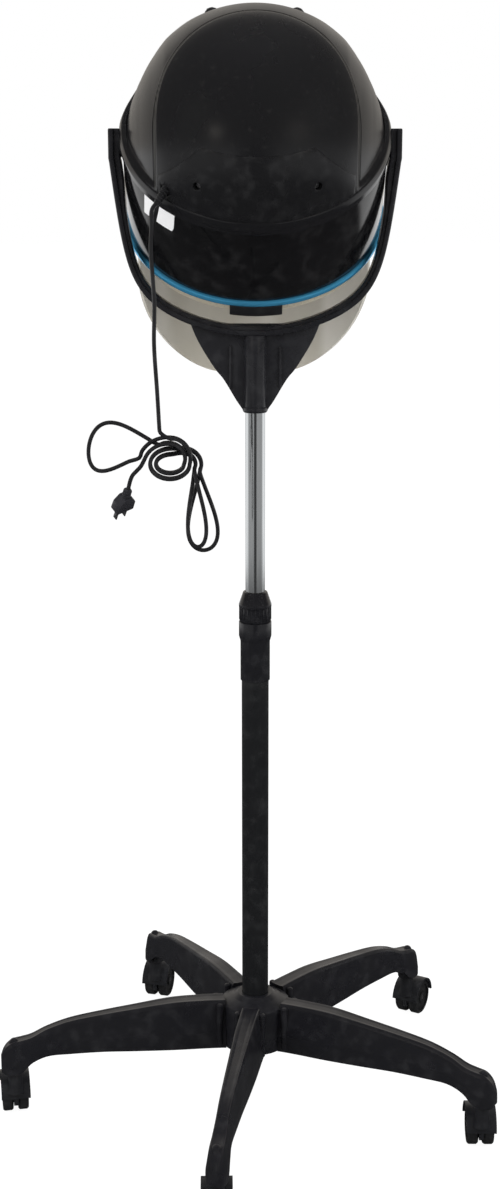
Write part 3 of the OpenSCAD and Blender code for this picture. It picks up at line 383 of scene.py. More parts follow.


# %% [markdown]
# ### What a finish is
# A finish is one material and the few helpers that every material here needs: noise,
# the axes of the object, a mix of two colours, and bumps. It carries the name of the
# material slot that it belongs to, which nothing here reads, and a piece gets its look
# in one step.


# %% A finish: one material with helpers for its nodes
class Finish:
    """A material for one kind of surface, with the name of the slot that it belongs to."""

    def __init__(self, name, slot, colour, roughness, **sockets):
        self.slot = slot
        self.material = bpy.data.materials.new(name)
        self.material.use_nodes = True
        self.tree = self.material.node_tree
        self.shader = self.tree.nodes["Principled BSDF"]
        self.material.diffuse_color = (*colour, 1.0)
        self.colour, self.roughness = tuple(colour), roughness
        self.set("Base Color", (*colour, 1.0))
        self.set("Roughness", roughness)
        for key, value in sockets.items():
            self.set(key.replace("_", " ").title().replace("Ior", "IOR"), value)
        self.coords = self.node("ShaderNodeTexCoord", {}, out="Object")

    def node(self, kind, settings, *values, out=0, **named):
        made = self.tree.nodes.new(kind)
        for key, value in settings.items():
            setattr(made, key, value)
        pairs = list(enumerate(values)) + list(named.items())
        for key, value in pairs:
            socket = made.inputs[key]
            if isinstance(value, Wire):
                self.tree.links.new(value.socket, socket)
            else:
                socket.default_value = value
        return Wire(self, made.outputs[out])

    def set(self, key, value):
        socket = self.shader.inputs[key]
        if isinstance(value, Wire):
            self.tree.links.new(value.socket, socket)
        else:
            socket.default_value = value

    def noise(self, per_metre, detail=2.0, stretch=(1, 1, 1), coords=None):
        where = self.node("ShaderNodeMapping", {}, Vector=coords or self.coords, Scale=stretch)
        return self.node(
            "ShaderNodeTexNoise", {}, Vector=where, Scale=per_metre, Detail=detail,
        )

    def axes(self, coords=None):
        split = self.tree.nodes.new("ShaderNodeSeparateXYZ")
        self.tree.links.new((coords or self.coords).socket, split.inputs[0])
        return [Wire(self, split.outputs[i]) for i in range(3)]

    def mixed(self, mask, colour_a, colour_b):
        made = self.tree.nodes.new("ShaderNodeMix")
        made.data_type = "RGBA"
        for index, value in ((0, mask), (6, colour_a), (7, colour_b)):
            if isinstance(value, Wire):
                self.tree.links.new(value.socket, made.inputs[index])
            elif index == 0:
                made.inputs[0].default_value = value
            else:
                made.inputs[index].default_value = (*value[:3], 1.0)
        return Wire(self, made.outputs[2])

    def bumps(self, *layers):
        """Bump layers of (height, depth in metres), one on top of the other."""
        normal = None
        for height, depth in layers:
            named = {"Height": height, "Distance": depth, "Strength": 1.0}
            if normal is not None:
                named["Normal"] = normal
            normal = self.node("ShaderNodeBump", {}, **named)
        self.set("Normal", normal)


# %% [markdown]
# ### Moulded plastic
# A moulding is never one flat tone. Its gloss wanders a little where fingers and
# cloths have been, a fine grain from the tool breaks up the highlights, and a film of
# dust greys it. One recipe makes all the mouldings, with its own numbers for each.


# %% Moulded plastic
def moulded(name, slot, colour, gloss, grain=(900.0, 1.5e-5), haze=0.35, dust=0.02):
    """A moulding; grain is how many bumps there are in a metre, and their depth."""
    made = Finish(name, slot, colour, gloss)
    cloud = made.noise(14.0, 3.0)
    film = made.noise(60.0, 4.0).ramp(0.45, 0.75)
    paler = tuple(min(1.0, c * 1.25 + dust) for c in colour)
    made.set("Base Color", made.mixed(film * cloud * 0.8, colour, paler))
    made.set("Roughness", cloud.ramp(0.3, 0.75, gloss * (1 - haze / 2), gloss * (1 + haze)))
    made.bumps((made.noise(grain[0], 2.0), grain[1]))
    return made


BLACK = (0.0075, 0.0075, 0.0085)
fork_black = moulded("fork_black", "shell_plastic", (0.013, 0.013, 0.0155), 0.27)
leg_black = moulded("leg_black", "leg_plastic", (0.010, 0.010, 0.0125), 0.30, (700.0, 4e-5))
caster_black = moulded(
    "caster_black", "black_plastic", (0.012, 0.0125, 0.015), 0.38, (800.0, 4e-5))
wheel_black = moulded("wheel_black", "wheel_plastic", (0.012, 0.012, 0.013), 0.5, (600.0, 5e-5))
collar_black = moulded("collar_black", "black_plastic", (0.009, 0.009, 0.011), 0.2)
bracket_black = moulded("bracket_black", "black_plastic", (0.010, 0.010, 0.012), 0.33)
knob_black = moulded("knob_black", "black_plastic", (0.018, 0.018, 0.020), 0.4)
liner_cream = moulded("liner_cream", "liner_plastic", (0.60, 0.56, 0.48), 0.42, haze=0.2)
fan_cream = moulded("fan_cream", "fan_plastic", (0.58, 0.56, 0.50), 0.45)
guard_grey = moulded("guard_grey", "grey_plastic", (0.16, 0.155, 0.145), 0.42)
bush_white = moulded("bush_white", "natural_plastic", (0.70, 0.68, 0.62), 0.45)
mica_brown = moulded("mica_brown", "mica", (0.42, 0.30, 0.16), 0.55)
rubber_black = moulded(
    "rubber_black", "cord_rubber", (0.012, 0.012, 0.0135), 0.34, (1500.0, 2e-5))
plug_black = moulded("plug_black", "cord_rubber", (0.022, 0.022, 0.027), 0.45, (900.0, 4e-5))
print("mouldings:", len(bpy.data.materials))

# %% [markdown]
# ### The dome's black
# The dome has a soft sheen, and a fine groove runs over it where the raised back panel
# meets the sides: straight up beside the rear cover and round in a wide arch on top.
# A line that thin is better drawn by a bump than cut into the mesh, and the colour in it
# is darkened as painted shade. The Mapping node turns the coordinates into the hood's
# own axes, so the line follows the hood. The lip round the dome's edge is smoother than
# the rest and catches more light.


# %% The dome's black, with the panel's groove
def hood_axes(finish):
    turned_in = finish.node(
        "ShaderNodeMapping", {"vector_type": "TEXTURE"}, Vector=finish.coords,
        Location=(0, 0, PIVOT_Z * MM), Rotation=(math.radians(LEAN), 0, 0),
    )
    return turned_in, finish.axes(turned_in)


def arch_distance(x, s, half=0.118, centre=-0.070):
    """Distance outside the panel's arch, seen along the hood's axis."""
    ahead = (s - centre).apply("MAXIMUM", 0.0)
    return (x * x + ahead * ahead).apply("SQRT") - half


dome_black = Finish("dome_black", "shell_plastic", BLACK, 0.16)
hood_coords, (hx, hs, ht) = hood_axes(dome_black)
arch = arch_distance(hx, hs)
above = ht.ramp(0.023, 0.031)
groove = arch.apply("ABSOLUTE").ramp(0.0004, 0.0028, 1.0, 0.0) * above
step = arch.ramp(-0.0016, 0.0016, 1.0, 0.0) * above
PIP_S, PIP_R = -0.021, 0.0035
pip = (hx * hx + (hs - PIP_S) * (hs - PIP_S)).apply("SQRT")
pip_ring = (pip - PIP_R).apply("ABSOLUTE").ramp(0.0002, 0.0012, 1.0, 0.0)
smears = dome_black.noise(9.0, 4.0, (1, 1, 0.35), hood_coords)
dust = dome_black.noise(150.0, 3.0).ramp(0.58, 0.8)
greyer = dome_black.mixed(dust * 0.35, BLACK, (0.030, 0.029, 0.028))
# Painted shade: the dome's colour is darkened along the groove.
dome_black.set("Base Color", dome_black.mixed(groove * 0.9, greyer, (0.002, 0.002, 0.002)))
polished_lip = ht.ramp(0.016, 0.024, 0.45, 1.0)
dome_black.set("Roughness", smears.ramp(0.35, 0.7, 0.24, 0.33) * polished_lip + groove * 0.2)
dome_black.bumps(
    (dome_black.noise(420.0, 2.0), 1.2e-5),
    ((step - groove * 0.9 - pip_ring * 0.35) * 1.0, 0.0011),
)

housing_black = moulded(
    "housing_black", "shell_plastic", (0.0045, 0.0045, 0.005), 0.11, (420.0, 1e-5))
cover_black = moulded("cover_black", "shell_plastic", BLACK, 0.26, (420.0, 1.2e-5))
print("the dome's black:", len(dome_black.tree.nodes), "nodes")

# %% [markdown]
# ### Metals and the coloured ring
# Chrome shows its surroundings, so it needs only a little drawn haze along the tube,
# and a darker colour painted where the tube turns away, a painted dark reflection of
# its surroundings. The ring round the hood is plastic with a blue metallic film, so it is
# part metal and part colour.


# %% Metals and the coloured ring
def metal(name, slot, colour, gloss, along=(1, 1, 0.02)):
    made = Finish(name, slot, colour, gloss, metallic=1.0)
    lines = made.noise(900.0, 2.0, along)
    made.set("Roughness", lines.ramp(0.3, 0.7, gloss * 0.7, gloss * 1.4))
    worn = tuple(0.9 * c for c in colour)
    made.set("Base Color", made.mixed(made.noise(25.0, 3.0), colour, worn))
    made.bumps((lines, 4e-6))
    return made


chrome = metal("chrome", "chrome", (0.66, 0.67, 0.68), 0.12)
# Painted reflection: the chrome's colour turns dark where the tube turns away from the camera,
# standing in for dark surroundings.
turning_away = chrome.node("ShaderNodeLayerWeight", {}, Blend=0.5, out="Facing")
painted_dark_edge = turning_away.ramp(0.55, 0.9)
chrome.set("Base Color", chrome.mixed(painted_dark_edge, (0.68, 0.70, 0.71), (0.10, 0.11, 0.13)))
zinc = metal("zinc", "steel", (0.50, 0.50, 0.52), 0.3, (1, 1, 1))
cast = metal("cast_metal", "motor_metal", (0.42, 0.43, 0.44), 0.45, (1, 1, 1))
ring_blue = metal("ring_blue", "blue_trim", (0.09, 0.46, 0.78), 0.17, (1, 1, 1))
ring_blue.set("Metallic", 0.7)
tube_black = moulded("tube_black", "black_tube", (0.009, 0.0095, 0.0105), 0.24, (1100.0, 2.5e-5))
print("finishes with the metals:", len(bpy.data.materials))

# %% [markdown]
# ### The beige collar, the visor and the blank stickers
# The visor is a thin smoky sheet that lets some light through. Its colour has upright
# streaks of lighter and darker tone, painted reflections. Alpha lets the light through
# with no glass to trace, and it keeps its look in other programs. The collar is plain
# beige plastic. The stickers are left blank, with only the grain of paper.

# %% The beige collar, the visor and the blank stickers
collar_beige = moulded(
    "collar_beige", "beige_plastic", (0.40, 0.36, 0.28), 0.4, haze=0.2, dust=0.0)
visor_smoke = Finish("visor_smoke", "visor_plastic", (0.60, 0.565, 0.48), 0.16)
mist = visor_smoke.noise(12.0, 3.0, (1, 1, 0.3))
# Painted reflections: upright lighter and darker streaks in the visor's colour.
painted_streaks = visor_smoke.noise(16.0, 1.0, (1, 0.1, 0.04)).ramp(0.40, 0.62)
visor_smoke.set(
    "Base Color", visor_smoke.mixed(painted_streaks, (0.50, 0.465, 0.385), (0.68, 0.65, 0.58)))
visor_smoke.set("Roughness", mist.ramp(0.3, 0.7, 0.11, 0.2))
visor_smoke.set("Alpha", mist.ramp(0.2, 0.8, 0.80, 0.70))
visor_smoke.bumps((visor_smoke.noise(60.0, 2.0), 4e-5))
sticker_white = Finish("sticker_white", "natural_plastic", (0.80, 0.80, 0.80), 0.35)
paper = sticker_white.noise(500.0, 3.0)
sticker_white.set(
    "Base Color", sticker_white.mixed(paper, (0.78, 0.78, 0.79), (0.86, 0.86, 0.86)))
sticker_white.bumps((paper, 1.5e-5))
print("finishes in all:", len(bpy.data.materials))

# %% [markdown]
# ## The supply cord
# A mains lead leaves the back of the hood through a ribbed boot, hangs down, and is
# tied in a loose overhand knot with its spare length folded into loops. A curve with a
# bevel would draw it too, but the knot is a rule: each pass turns round one eye in a
# lane of its own, so no two passes meet.


# %% The route of the lead
def unit(v):
    v = np.asarray(v, float)
    return v / np.linalg.norm(v)


CORD_D = 5.0
EXIT = np.array([-103.0, -107.0, PIVOT_Z - 49])
BOOT_DIR = unit([-0.5, -0.45, -0.74])
BOOT_TIP = EXIT + 27 * BOOT_DIR
KNOT = np.array([-104.0, -118.0, PIVOT_Z - 371])
DROP_END = KNOT + [-12, -4, 44]
EYE_A, EYE_B, PITCH, SINK = 20.0, 14.5, CORD_D + 1.9, 6.0


def ease(a, a0, a1):
    """Goes softly from 0 to 1 while a goes from a0 to a1."""
    u = min(max((a - a0) / (a1 - a0), 0.0), 1.0)
    return u * u * (3 - 2 * u)


def wave(degrees):
    """The sine of an angle in degrees."""
    return math.sin(math.radians(degrees))


def knot_point(a, n, w):
    """A point of the knot at angle a, in the lane n outwards and w towards the back."""
    wide = 2.03 * PITCH * (1 - ease(a, 95, 185) + ease(a, 455, 545))
    lift = 1.36 * PITCH * (wave(180 * ease(a, 48, 228)) - wave(180 * ease(a, 408, 588)))
    reach = wide + n
    across = -math.cos(math.radians(a)) * (EYE_A + reach)
    return KNOT + [across, -w - lift, wave(a) * (EYE_B + reach)]


def knot_pass(a0, a1, n, w, sink=0.0):
    """The lead's points along one lane, from one angle to another."""
    steps = round(abs(a1 - a0) / 15)
    angles = [a0 + (a1 - a0) * k / steps for k in range(steps + 1)]
    return [knot_point(a, n, w) + [0, sink * (1 - ease(a, a0, a0 + 50)), 0] for a in angles]


def loop(p, q, d, side, length, width, back):
    """A loop of spare lead from p to q that reaches out along d."""
    d, side = np.asarray(d, float), np.asarray(side, float)
    out = []
    for k in range(1, 24):
        u = k / 24
        s = wave(180 * u)
        out.append(
            p + (q - p) * u + d * length * s ** 0.85 + side * width / 2 * wave(360 * u)
            + np.array([0, back * math.sqrt(s), 0])
        )
    return out


# %% The lead, from the boot to the plug
half = PITCH / 2
start_c = knot_point(62, -half, -half) + [0, SINK, 0]
drop = smooth_path(
    [BOOT_TIP - 2 * BOOT_DIR, BOOT_TIP + 10 * BOOT_DIR, (-122, -124, PIVOT_Z - 97),
     (-123, -124, PIVOT_Z - 125), (-120, -121, PIVOT_Z - 180), (-121, -119, PIVOT_Z - 230),
     (-118, -121, PIVOT_Z - 285), DROP_END], 8)
TAIL = [(-34, -4, -1.5), (-40, -5, -8), (-44.5, -5, -13), (-47.5, -4.5, -20), (-50, -4, -30)]
tail = [KNOT + step for step in TAIL]
bundle = (
    [DROP_END, DROP_END + [1.5, -2.5, -6]]
    + knot_pass(88, 558, half, half)
    + loop(knot_point(558, half, half), knot_point(558, half, -half), [0.04, 0, -1],
           [1, 0, 0.04], 98, 36, 11)
    + knot_pass(558, 12, half, -half)
    + loop(knot_point(12, half, -half), start_c, [-1, 0, 0.06], [-0.06, 0, -1], 72, 50, 19)
    + knot_pass(62, 558, -half, -half, SINK)
    + loop(knot_point(558, -half, -half), knot_point(558, -half, half), [0.04, 0, -1],
           [-1, 0, -0.04], 92, 22, -8)
    + knot_pass(558, 24, -half, half)
    + tail
)
route = np.vstack([drop[:-1], smooth_path(bundle, 3)])
cord_length = float(np.linalg.norm(np.diff(route, axis=0), axis=1).sum()) * MM
print(f"lead: {cord_length:.3f} m along its route")
supply_cord = tube(route, CORD_D / 2, 14).piece("supply_cord", rubber_black, None, sharp=60)
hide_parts("cord_drop", "cord_bundle")

# %% [markdown]
# ## The plug and the boot
# A two-pin plug is moulded round the end of the lead: a ribbed neck that widens into a
# flat body. The boot at the hood is a cone of soft rings that lets the lead bend. The
# round parts are turned and the flat ones are plates. Each is built upright about the
# Z axis, where its sizes are easy to read, and aimed along the lead at the end.

# %% The plug
PLUG_DIR = [-0.25, 0.62, -0.74]
plug_place = aimed(tail[-1], PLUG_DIR) @ turned(70, "Z")
neck = lathe(
    rounded([(0, -1), (3.4, -1), (4.6, 3), (4.9, 13), (0, 13)], [0, 1, 1, 0, 0]), 24, False)
for k in range(3):
    low, high = 2 + 4 * k, 4 + 4 * k
    neck = neck + lathe(rounded([(3, low), (5.4, low), (5.4, high), (3, high)], 0.7), 24)
body_outline = rounded(
    [(-5, 0), (5, 0), (12, 9), (12.5, 24), (-12.5, 24), (-12, 9)], [1, 1, 5, 2, 2, 5])
flat_body = plate(body_outline, 0, 14).at(moved(0, 7, 12) @ turned(90, "X")).softened(1.6, 40)
grip_lines = joined(
    box((-7, side * 6.8 - 0.5, 20 + 3.4 * k), (7, side * 6.8 + 0.5, 21.4 + 3.4 * k))
    for k in range(4)
    for side in SIDES
)
plug_body = (neck + flat_body + grip_lines).at(plug_place).piece(
    "plug_body", plug_black, "mast", "plug")
PIN_X = 6.35
pins = joined(
    box((side * PIN_X - 0.75, -3.2, 34), (side * PIN_X + 0.75, 3.2, 52)).softened(0.35)
    for side in SIDES
)
plug_pins = pins.at(plug_place).piece("plug_pins", zinc, "mast")

# %% The boot, and the lead's place baked into its mesh
boot_profile = [(0, -12), (5.8, -12), (5.8, 4)]
for k in range(5):
    r, z = 5.6 - 0.35 * k, 6 + 4 * k
    boot_profile += [
        (r - 1.1, z - 1.6), (r - 1.1, z - 0.2), (r, z), (r, z + 2), (r - 1.2, z + 2.2)]
boot_profile += [(3.4, 25), (3.0, 27), (0, 27)]
boot = lathe(rounded(boot_profile, 0.5, 2, False), 32, False).at(aimed(EXIT, BOOT_DIR))
boot.piece("cord_boot", rubber_black, "hood", "strain_relief")
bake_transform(supply_cord)

# %% [markdown]
# ## The dome
# The dome is nearly a ball about the tilt axis, so its skin is a grid of turns round
# that axis. A sculpted mesh could follow the form by eye, but here the radius of every
# point is a rule: the back panel and a low skirt round the edge stand a few
# millimetres proud of the sides, and where the rear cover lies the skin is sunk a
# little, so that the cover fits over it.

# %% The dome's skin
SEAM, DOME_R = 17.5, 162.0
COVER = dict(top=93.0, half=114.0, top_half=65.0, low=20.5)


def smoothstep(v, low, high):
    u = np.clip((v - low) / (high - low), 0, 1)
    return u * u * (3 - 2 * u)


def cover_distance(x, t):
    x = np.abs(x)
    slant = (x + t - COVER["top"] - COVER["top_half"]) / math.sqrt(2)
    return np.maximum.reduce([t - COVER["top"], slant, x - COVER["half"], COVER["low"] - t])


def dome_radius(x, s, t):
    """The skin's distance from the pivot's centre, at a place on the ball."""
    dip = np.interp(np.abs(x), [80, 107, 124, 142, 150, 160], [0, 1.2, 4.2, 6.4, 6.6, 6.0])
    out = smoothstep(np.sqrt(x ** 2 + np.maximum(s + 70, 0) ** 2) - 118, 0, 3)
    side = dip * out * smoothstep(t, 23, 30)
    covered = 3.0 * smoothstep(-cover_distance(x, t), 1.5, 4.0) * (s < 0)
    return DOME_R - side - covered


GRID = 181
across = np.degrees(np.linspace(-1, 1, GRID) * (math.pi / 2 - math.asin(SEAM / DOME_R)))
rows = []
for a in across:
    x = DOME_R * wave(a)
    ring = math.sqrt(DOME_R ** 2 - x ** 2)
    low = math.asin(min(1.0, SEAM / ring))
    turns = np.linspace(low, math.pi - low, GRID)
    rows.append([(x, ring * math.cos(b), ring * math.sin(b)) for b in turns])
grid = np.array(rows).reshape(-1, 3)
scale = dome_radius(grid[:, 0], grid[:, 1], grid[:, 2]) / DOME_R
grid *= scale[:, None]
grid[:, 2] = np.maximum(grid[:, 2], SEAM)
cells = [
    (i * GRID + j, i * GRID + j + 1, (i + 1) * GRID + j + 1, (i + 1) * GRID + j)
    for i in range(GRID - 1)
    for j in range(GRID - 1)
]
print("dome skin:", len(cells), "cells")

# %% The wells' places, left open in the skin
WELL_X, WELL_T, WELL_ROOM = 69.5, 53.5, 8.0
well_s = -math.sqrt(DOME_R ** 2 - WELL_X ** 2 - WELL_T ** 2)
SCREWS = [np.array([side * WELL_X, well_s, WELL_T]) for side in SIDES]
centres = grid[np.array(cells)].mean(axis=1)
distances = [np.linalg.norm(centres - c, axis=1) for c in SCREWS]
clear = np.min(distances, axis=0) > WELL_ROOM
dome = Form(grid, [cell for cell, keep in zip(cells, clear) if keep])
work = bmesh.new()
work.from_mesh(dome.mesh("dome_draft"))
top = max(work.faces, key=lambda f: f.calc_center_median().z)
if top.normal.z < 0:
    bmesh.ops.reverse_faces(work, faces=work.faces)
dome_mesh = bpy.data.meshes.new("dome_skin")
work.to_mesh(dome_mesh)
work.free()
print("dome skin with its wells open:", len(dome_mesh.polygons), "cells")

# %% [markdown]
# A skin with no thickness looks wrong from inside and can't be printed, so Solidify
# gives it the wall that the moulding has. The lip is a skirt with a rounded bead that
# dips at the back and dies away at the front, so it is turned on the lathe, tilted a
# little and drawn in. The knobs sit on two flat round seats.

# %% The dome's wall and its lip
dome_skin = new_object("dome_skin", dome_mesh)
wall = dome_skin.modifiers.new("wall", "SOLIDIFY")
wall.thickness, wall.offset = 2.6 * MM, -1.0
walled = plain_mesh(dome_skin)
bpy.data.objects.remove(dome_skin)
dome_wall = Form(
    [v.co / MM for v in walled.vertices], [tuple(p.vertices) for p in walled.polygons]
)
LIP_R, LIP_LOW, BEAD_TOP, LIP_TOP, LIP_DIP, FADE = 163.4, 12.0, 20.5, 29.0, 3.0, 3.6
lip_profile = [
    (154.5, 18), (160.4, 18), (160.4, LIP_LOW), (LIP_R, LIP_LOW), (LIP_R, BEAD_TOP),
    (160.3, LIP_TOP), (154.5, LIP_TOP)]
lip = lathe(rounded(lip_profile, [0, 0, 0.5, 1.6, 3.0, 4.0, 0], 6), 160)
drawn_in = 1 - smoothstep(lip.points[:, 1], 10, 60) * FADE / DOME_R
lip.points[:, :2] *= drawn_in[:, None]
lip = lip.at(turned(LIP_DIP, "X"))
print("dome wall:", len(dome_wall.faces), "faces, lip:", len(lip.faces), "faces")

# %% The knobs' seats, and the whole dome
KNOB_LEAN, KNOB_SWING, SEAT = 58.0, 21.5, 162.5


def knob_place(side):
    return HOOD @ turned(90 - side * KNOB_SWING, "Z") @ turned(KNOB_LEAN, "Y")


SEAT_R, BORE_R = 12.0, 3.1
seat_profile = rounded(
    [(0, SEAT - 8), (SEAT_R, SEAT - 8), (SEAT_R, SEAT), (BORE_R, SEAT), (BORE_R, SEAT - 3),
     (0, SEAT - 3)], [0, 0, 0.9, 0.3, 0, 0], 3, False)
seats = joined(lathe(seat_profile, 48, False).at(knob_place(side)) for side in SIDES)
(dome_wall.at(HOOD) + lip.at(HOOD) + seats).piece(
    "dome_shell", dome_black, "hood", "top_shell", sharp=38)

# %% [markdown]
# ## The rear cover and its screws
# The cover over the motor is a patch of the same ball, a hair proud, with softly
# rounded edges that catch the light along its top. The CAD shape is exact, so a copy
# of it with bevelled edges is enough. Two screws sit deep in wells, which are turned.

# %% The rear cover
cover = cad_form("rear_cover").softened(0.7, 40, 2)
cover.piece("rear_cover_skin", cover_black, "hood", "rear_cover", sharp=40)
WELL_TOP, WELL_FLOOR = DOME_R + 0.1, DOME_R - 9
well = lathe(rounded(
    [(4.7, WELL_TOP), (5.4, DOME_R - 1), (5.4, WELL_FLOOR), (0, WELL_FLOOR), (0, DOME_R - 8),
     (4.5, DOME_R - 8), (4.5, DOME_R - 0.6)], [0.3, 0, 0, 0, 0, 0, 0.3], 2), 32)
wells = joined(well.at(HOOD @ aimed((0, 0, 0), c)) for c in SCREWS)
wells.piece("screw_wells", cover_black, "hood")

# %% [markdown]
# ## The lower housing, the ring and the collar
# Below the seam the hood is a straight drum, glossier than the dome. It ends in a blue
# ring and a beige collar with more than a hundred fine ribs. Geometry Nodes set the
# ribs: points on a circle, one small rib on each, turned to face outwards.


# %% Ribs by Geometry Nodes
def repeated(name, seed, finish, body, count, radius, place):
    """Sets count copies of a form round a circle about Z, then moves all by place."""
    tree = bpy.data.node_groups.new(name + "_rule", "GeometryNodeTree")
    tree.interface.new_socket("Geometry", in_out="OUTPUT", socket_type="NodeSocketGeometry")
    for title, kind in (("Count", "NodeSocketInt"), ("Radius", "NodeSocketFloat")):
        tree.interface.new_socket(title, in_out="INPUT", socket_type=kind)
    keys = {s.name: s.identifier for s in tree.interface.items_tree if s.in_out == "INPUT"}
    seed_thing = new_object(name + "_seed", seed.mesh(name + "_seed"))

    def put(socket, value):
        if isinstance(value, bpy.types.NodeSocket):
            tree.links.new(value, socket)
        else:
            socket.default_value = value

    def add(kind, **sockets):
        made = tree.nodes.new(kind)
        for key, value in sockets.items():
            put(made.inputs[key], value)
        return made

    def maths(operation, a, b):
        made = tree.nodes.new("ShaderNodeMath")
        made.operation = operation
        for socket, value in zip(made.inputs, (a, b)):
            put(socket, value)
        return made.outputs[0]

    given = add("NodeGroupInput")
    share = maths("DIVIDE", add("GeometryNodeInputIndex").outputs[0], given.outputs["Count"])
    angle = maths("MULTIPLY", share, 2 * math.pi)
    x = maths("MULTIPLY", maths("COSINE", angle, 0.0), given.outputs["Radius"])
    y = maths("MULTIPLY", maths("SINE", angle, 0.0), given.outputs["Radius"])
    spots = add(
        "GeometryNodePoints", Count=given.outputs["Count"],
        Position=add("ShaderNodeCombineXYZ", X=x, Y=y).outputs[0],
    )
    facing = add("ShaderNodeCombineXYZ", Z=angle).outputs[0]
    source = add("GeometryNodeObjectInfo", Object=seed_thing)
    set_out = add(
        "GeometryNodeInstanceOnPoints", Points=spots.outputs[0],
        Instance=source.outputs["Geometry"], Rotation=facing,
    )
    real = add("GeometryNodeRealizeInstances", Geometry=set_out.outputs[0])
    painted = add("GeometryNodeSetMaterial", Geometry=real.outputs[0], Material=finish.material)
    smooth = add("GeometryNodeSetShadeSmooth", Geometry=painted.outputs[0])
    add("NodeGroupOutput", Geometry=smooth.outputs[0])

    host = new_object(name, bpy.data.meshes.new(name))
    rule = host.modifiers.new("rule", "NODES")
    rule.node_group = tree
    rule[keys["Count"]] = count
    rule[keys["Radius"]] = radius * MM
    grown = plain_mesh(host)
    host.modifiers.remove(rule)
    placed = np.array(place, float)
    placed[:3, 3] *= MM
    grown.transform(Matrix(placed))
    grown.set_sharp_from_angle(angle=math.radians(35))
    host.data = grown
    bpy.data.objects.remove(seed_thing)
    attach(host, body)
    print(f"{name}: {count} copies, {len(grown.polygons)} faces")


# %% The drum and its ears
RING_T, DRUM_IN, DRUM_R, DRUM_TOP = -105.0, 157, 160, SEAM - 0.6
drum_profile = rounded(
    [(DRUM_IN, RING_T), (DRUM_R, RING_T), (DRUM_R, DRUM_TOP), (DRUM_IN, DRUM_TOP)],
    [0.3, 1.0, 1.0, 0.3], 3)
EAR_R, EAR_IN, EAR_OUT = 18, 146, 159.8
ear = lathe([(0, EAR_IN), (EAR_R, EAR_IN), (EAR_R, EAR_OUT), (0, EAR_OUT)], 48, False)
ears = joined(ear.at(turned(side * 90, "Y")) for side in SIDES)
drum = (lathe(drum_profile, 192) + ears).at(HOOD)
drum.piece("drum_skin", housing_black, "hood", "lower_housing")

# %% The ring
RING_R, RING_IN, SKIRT_IN, RING_STEP, RING_FOOT = 163.5, 155, 157.2, RING_T - 5, RING_T - 8.5
ring_profile = rounded(
    [(RING_IN, RING_STEP), (SKIRT_IN, RING_STEP), (SKIRT_IN, RING_FOOT), (RING_R, RING_FOOT),
     (RING_R, RING_T), (RING_IN, RING_T)], [0.3, 0, 0.6, 4.2, 3.4, 0.4], 7)
lathe(ring_profile, 192).at(HOOD).piece("ring_skin", ring_blue, "hood", "trim_ring")

# %% The collar and its ribs
FOOT_T, FOOT_TOP, CORE_TOP = -127, -124.5, -110.6
collar_core = rounded(
    [(150.5, FOOT_T), (155.1, FOOT_T), (155.1, CORE_TOP), (150.5, CORE_TOP)], 0.5, 2)
collar_foot = rounded(
    [(150, FOOT_T), (155.5, FOOT_T), (155.5, FOOT_TOP), (150, FOOT_TOP)], 0.8, 3)
(lathe(collar_core, 160) + lathe(collar_foot, 160)).at(HOOD).piece(
    "collar_skin", collar_beige, "hood", "ribbed_collar")
rib_outline = rounded(
    [(-1, -1.5), (0.4, -1.5), (0.9, 0), (0.4, 1.5), (-1, 1.5)], [0, 0.5, 0.6, 0.5, 0], 2)
repeated(
    "collar_ribs", plate(rib_outline, -125, -111), collar_beige, "hood", 110, 154.9, HOOD)

# %% [markdown]
# ### The clip and the blank stickers
# A small clip holds the collar at the back, and two stickers lie on the drum beside
# it. A flat box or a decal would stand off the round wall at its ends, so each is a
# patch bent round the hood's axis, made from an outline in degrees and millimetres.


# %% The clip at the back, and the blank stickers
def band_patch(corners, inner, outer):
    """A patch bent round the hood's axis, with corners given as (angle, height)."""
    corners = np.array(corners, float)
    following = np.roll(corners, -1, axis=0)
    rings = []
    for a in np.linspace(corners[:, 0].min() + 0.01, corners[:, 0].max() - 0.01, 13):
        cuts = [
            t0 + (t1 - t0) * (a - a0) / (a1 - a0)
            for (a0, t0), (a1, t1) in zip(corners, following)
            if min(a0, a1) <= a <= max(a0, a1) and a0 != a1
        ]
        turn, low, high = math.radians(a), min(cuts), max(cuts)
        section = ((outer, low), (outer, high), (inner, high), (inner, low))
        rings.append([(r * math.cos(turn), r * math.sin(turn), t) for r, t in section])
    return skin(rings)


CLIP = [(258.8, -111), (281.2, -111), (281.2, -126), (258.8, -126)]
clip = band_patch(CLIP, 157.5, 165).softened(0.8, 40, 3).at(HOOD)
clip.piece("clip_block", bracket_black, "hood", "rear_clip", sharp=40)
STICKERS = (
    [(214.9, 4.7), (217.9, 11.8), (223.5, 10.4), (219.6, -25.0), (214.0, -27.1)],
    [(225.3, 8.0), (233.4, 8.7), (232.3, -24.3), (222.5, -24.7)],
)
stickers = joined(band_patch(outline, 160.05, 160.35) for outline in STICKERS)
stickers.at(HOOD).piece("blank_stickers", sticker_white, "hood")

# %% [markdown]
# ## The fork
# One long moulding carries the hood: two arms that meet in a round bar, a triangular
# web under it and a socket that takes the chrome tube. Its section has a thick outer
# ridge and a thinner inner strip, so two highlights run along it. A section swept
# along a curve would keep one thickness, but the arms are deeper inwards than the bar,
# so the rings of a skin are that section, set at small steps round the bow.

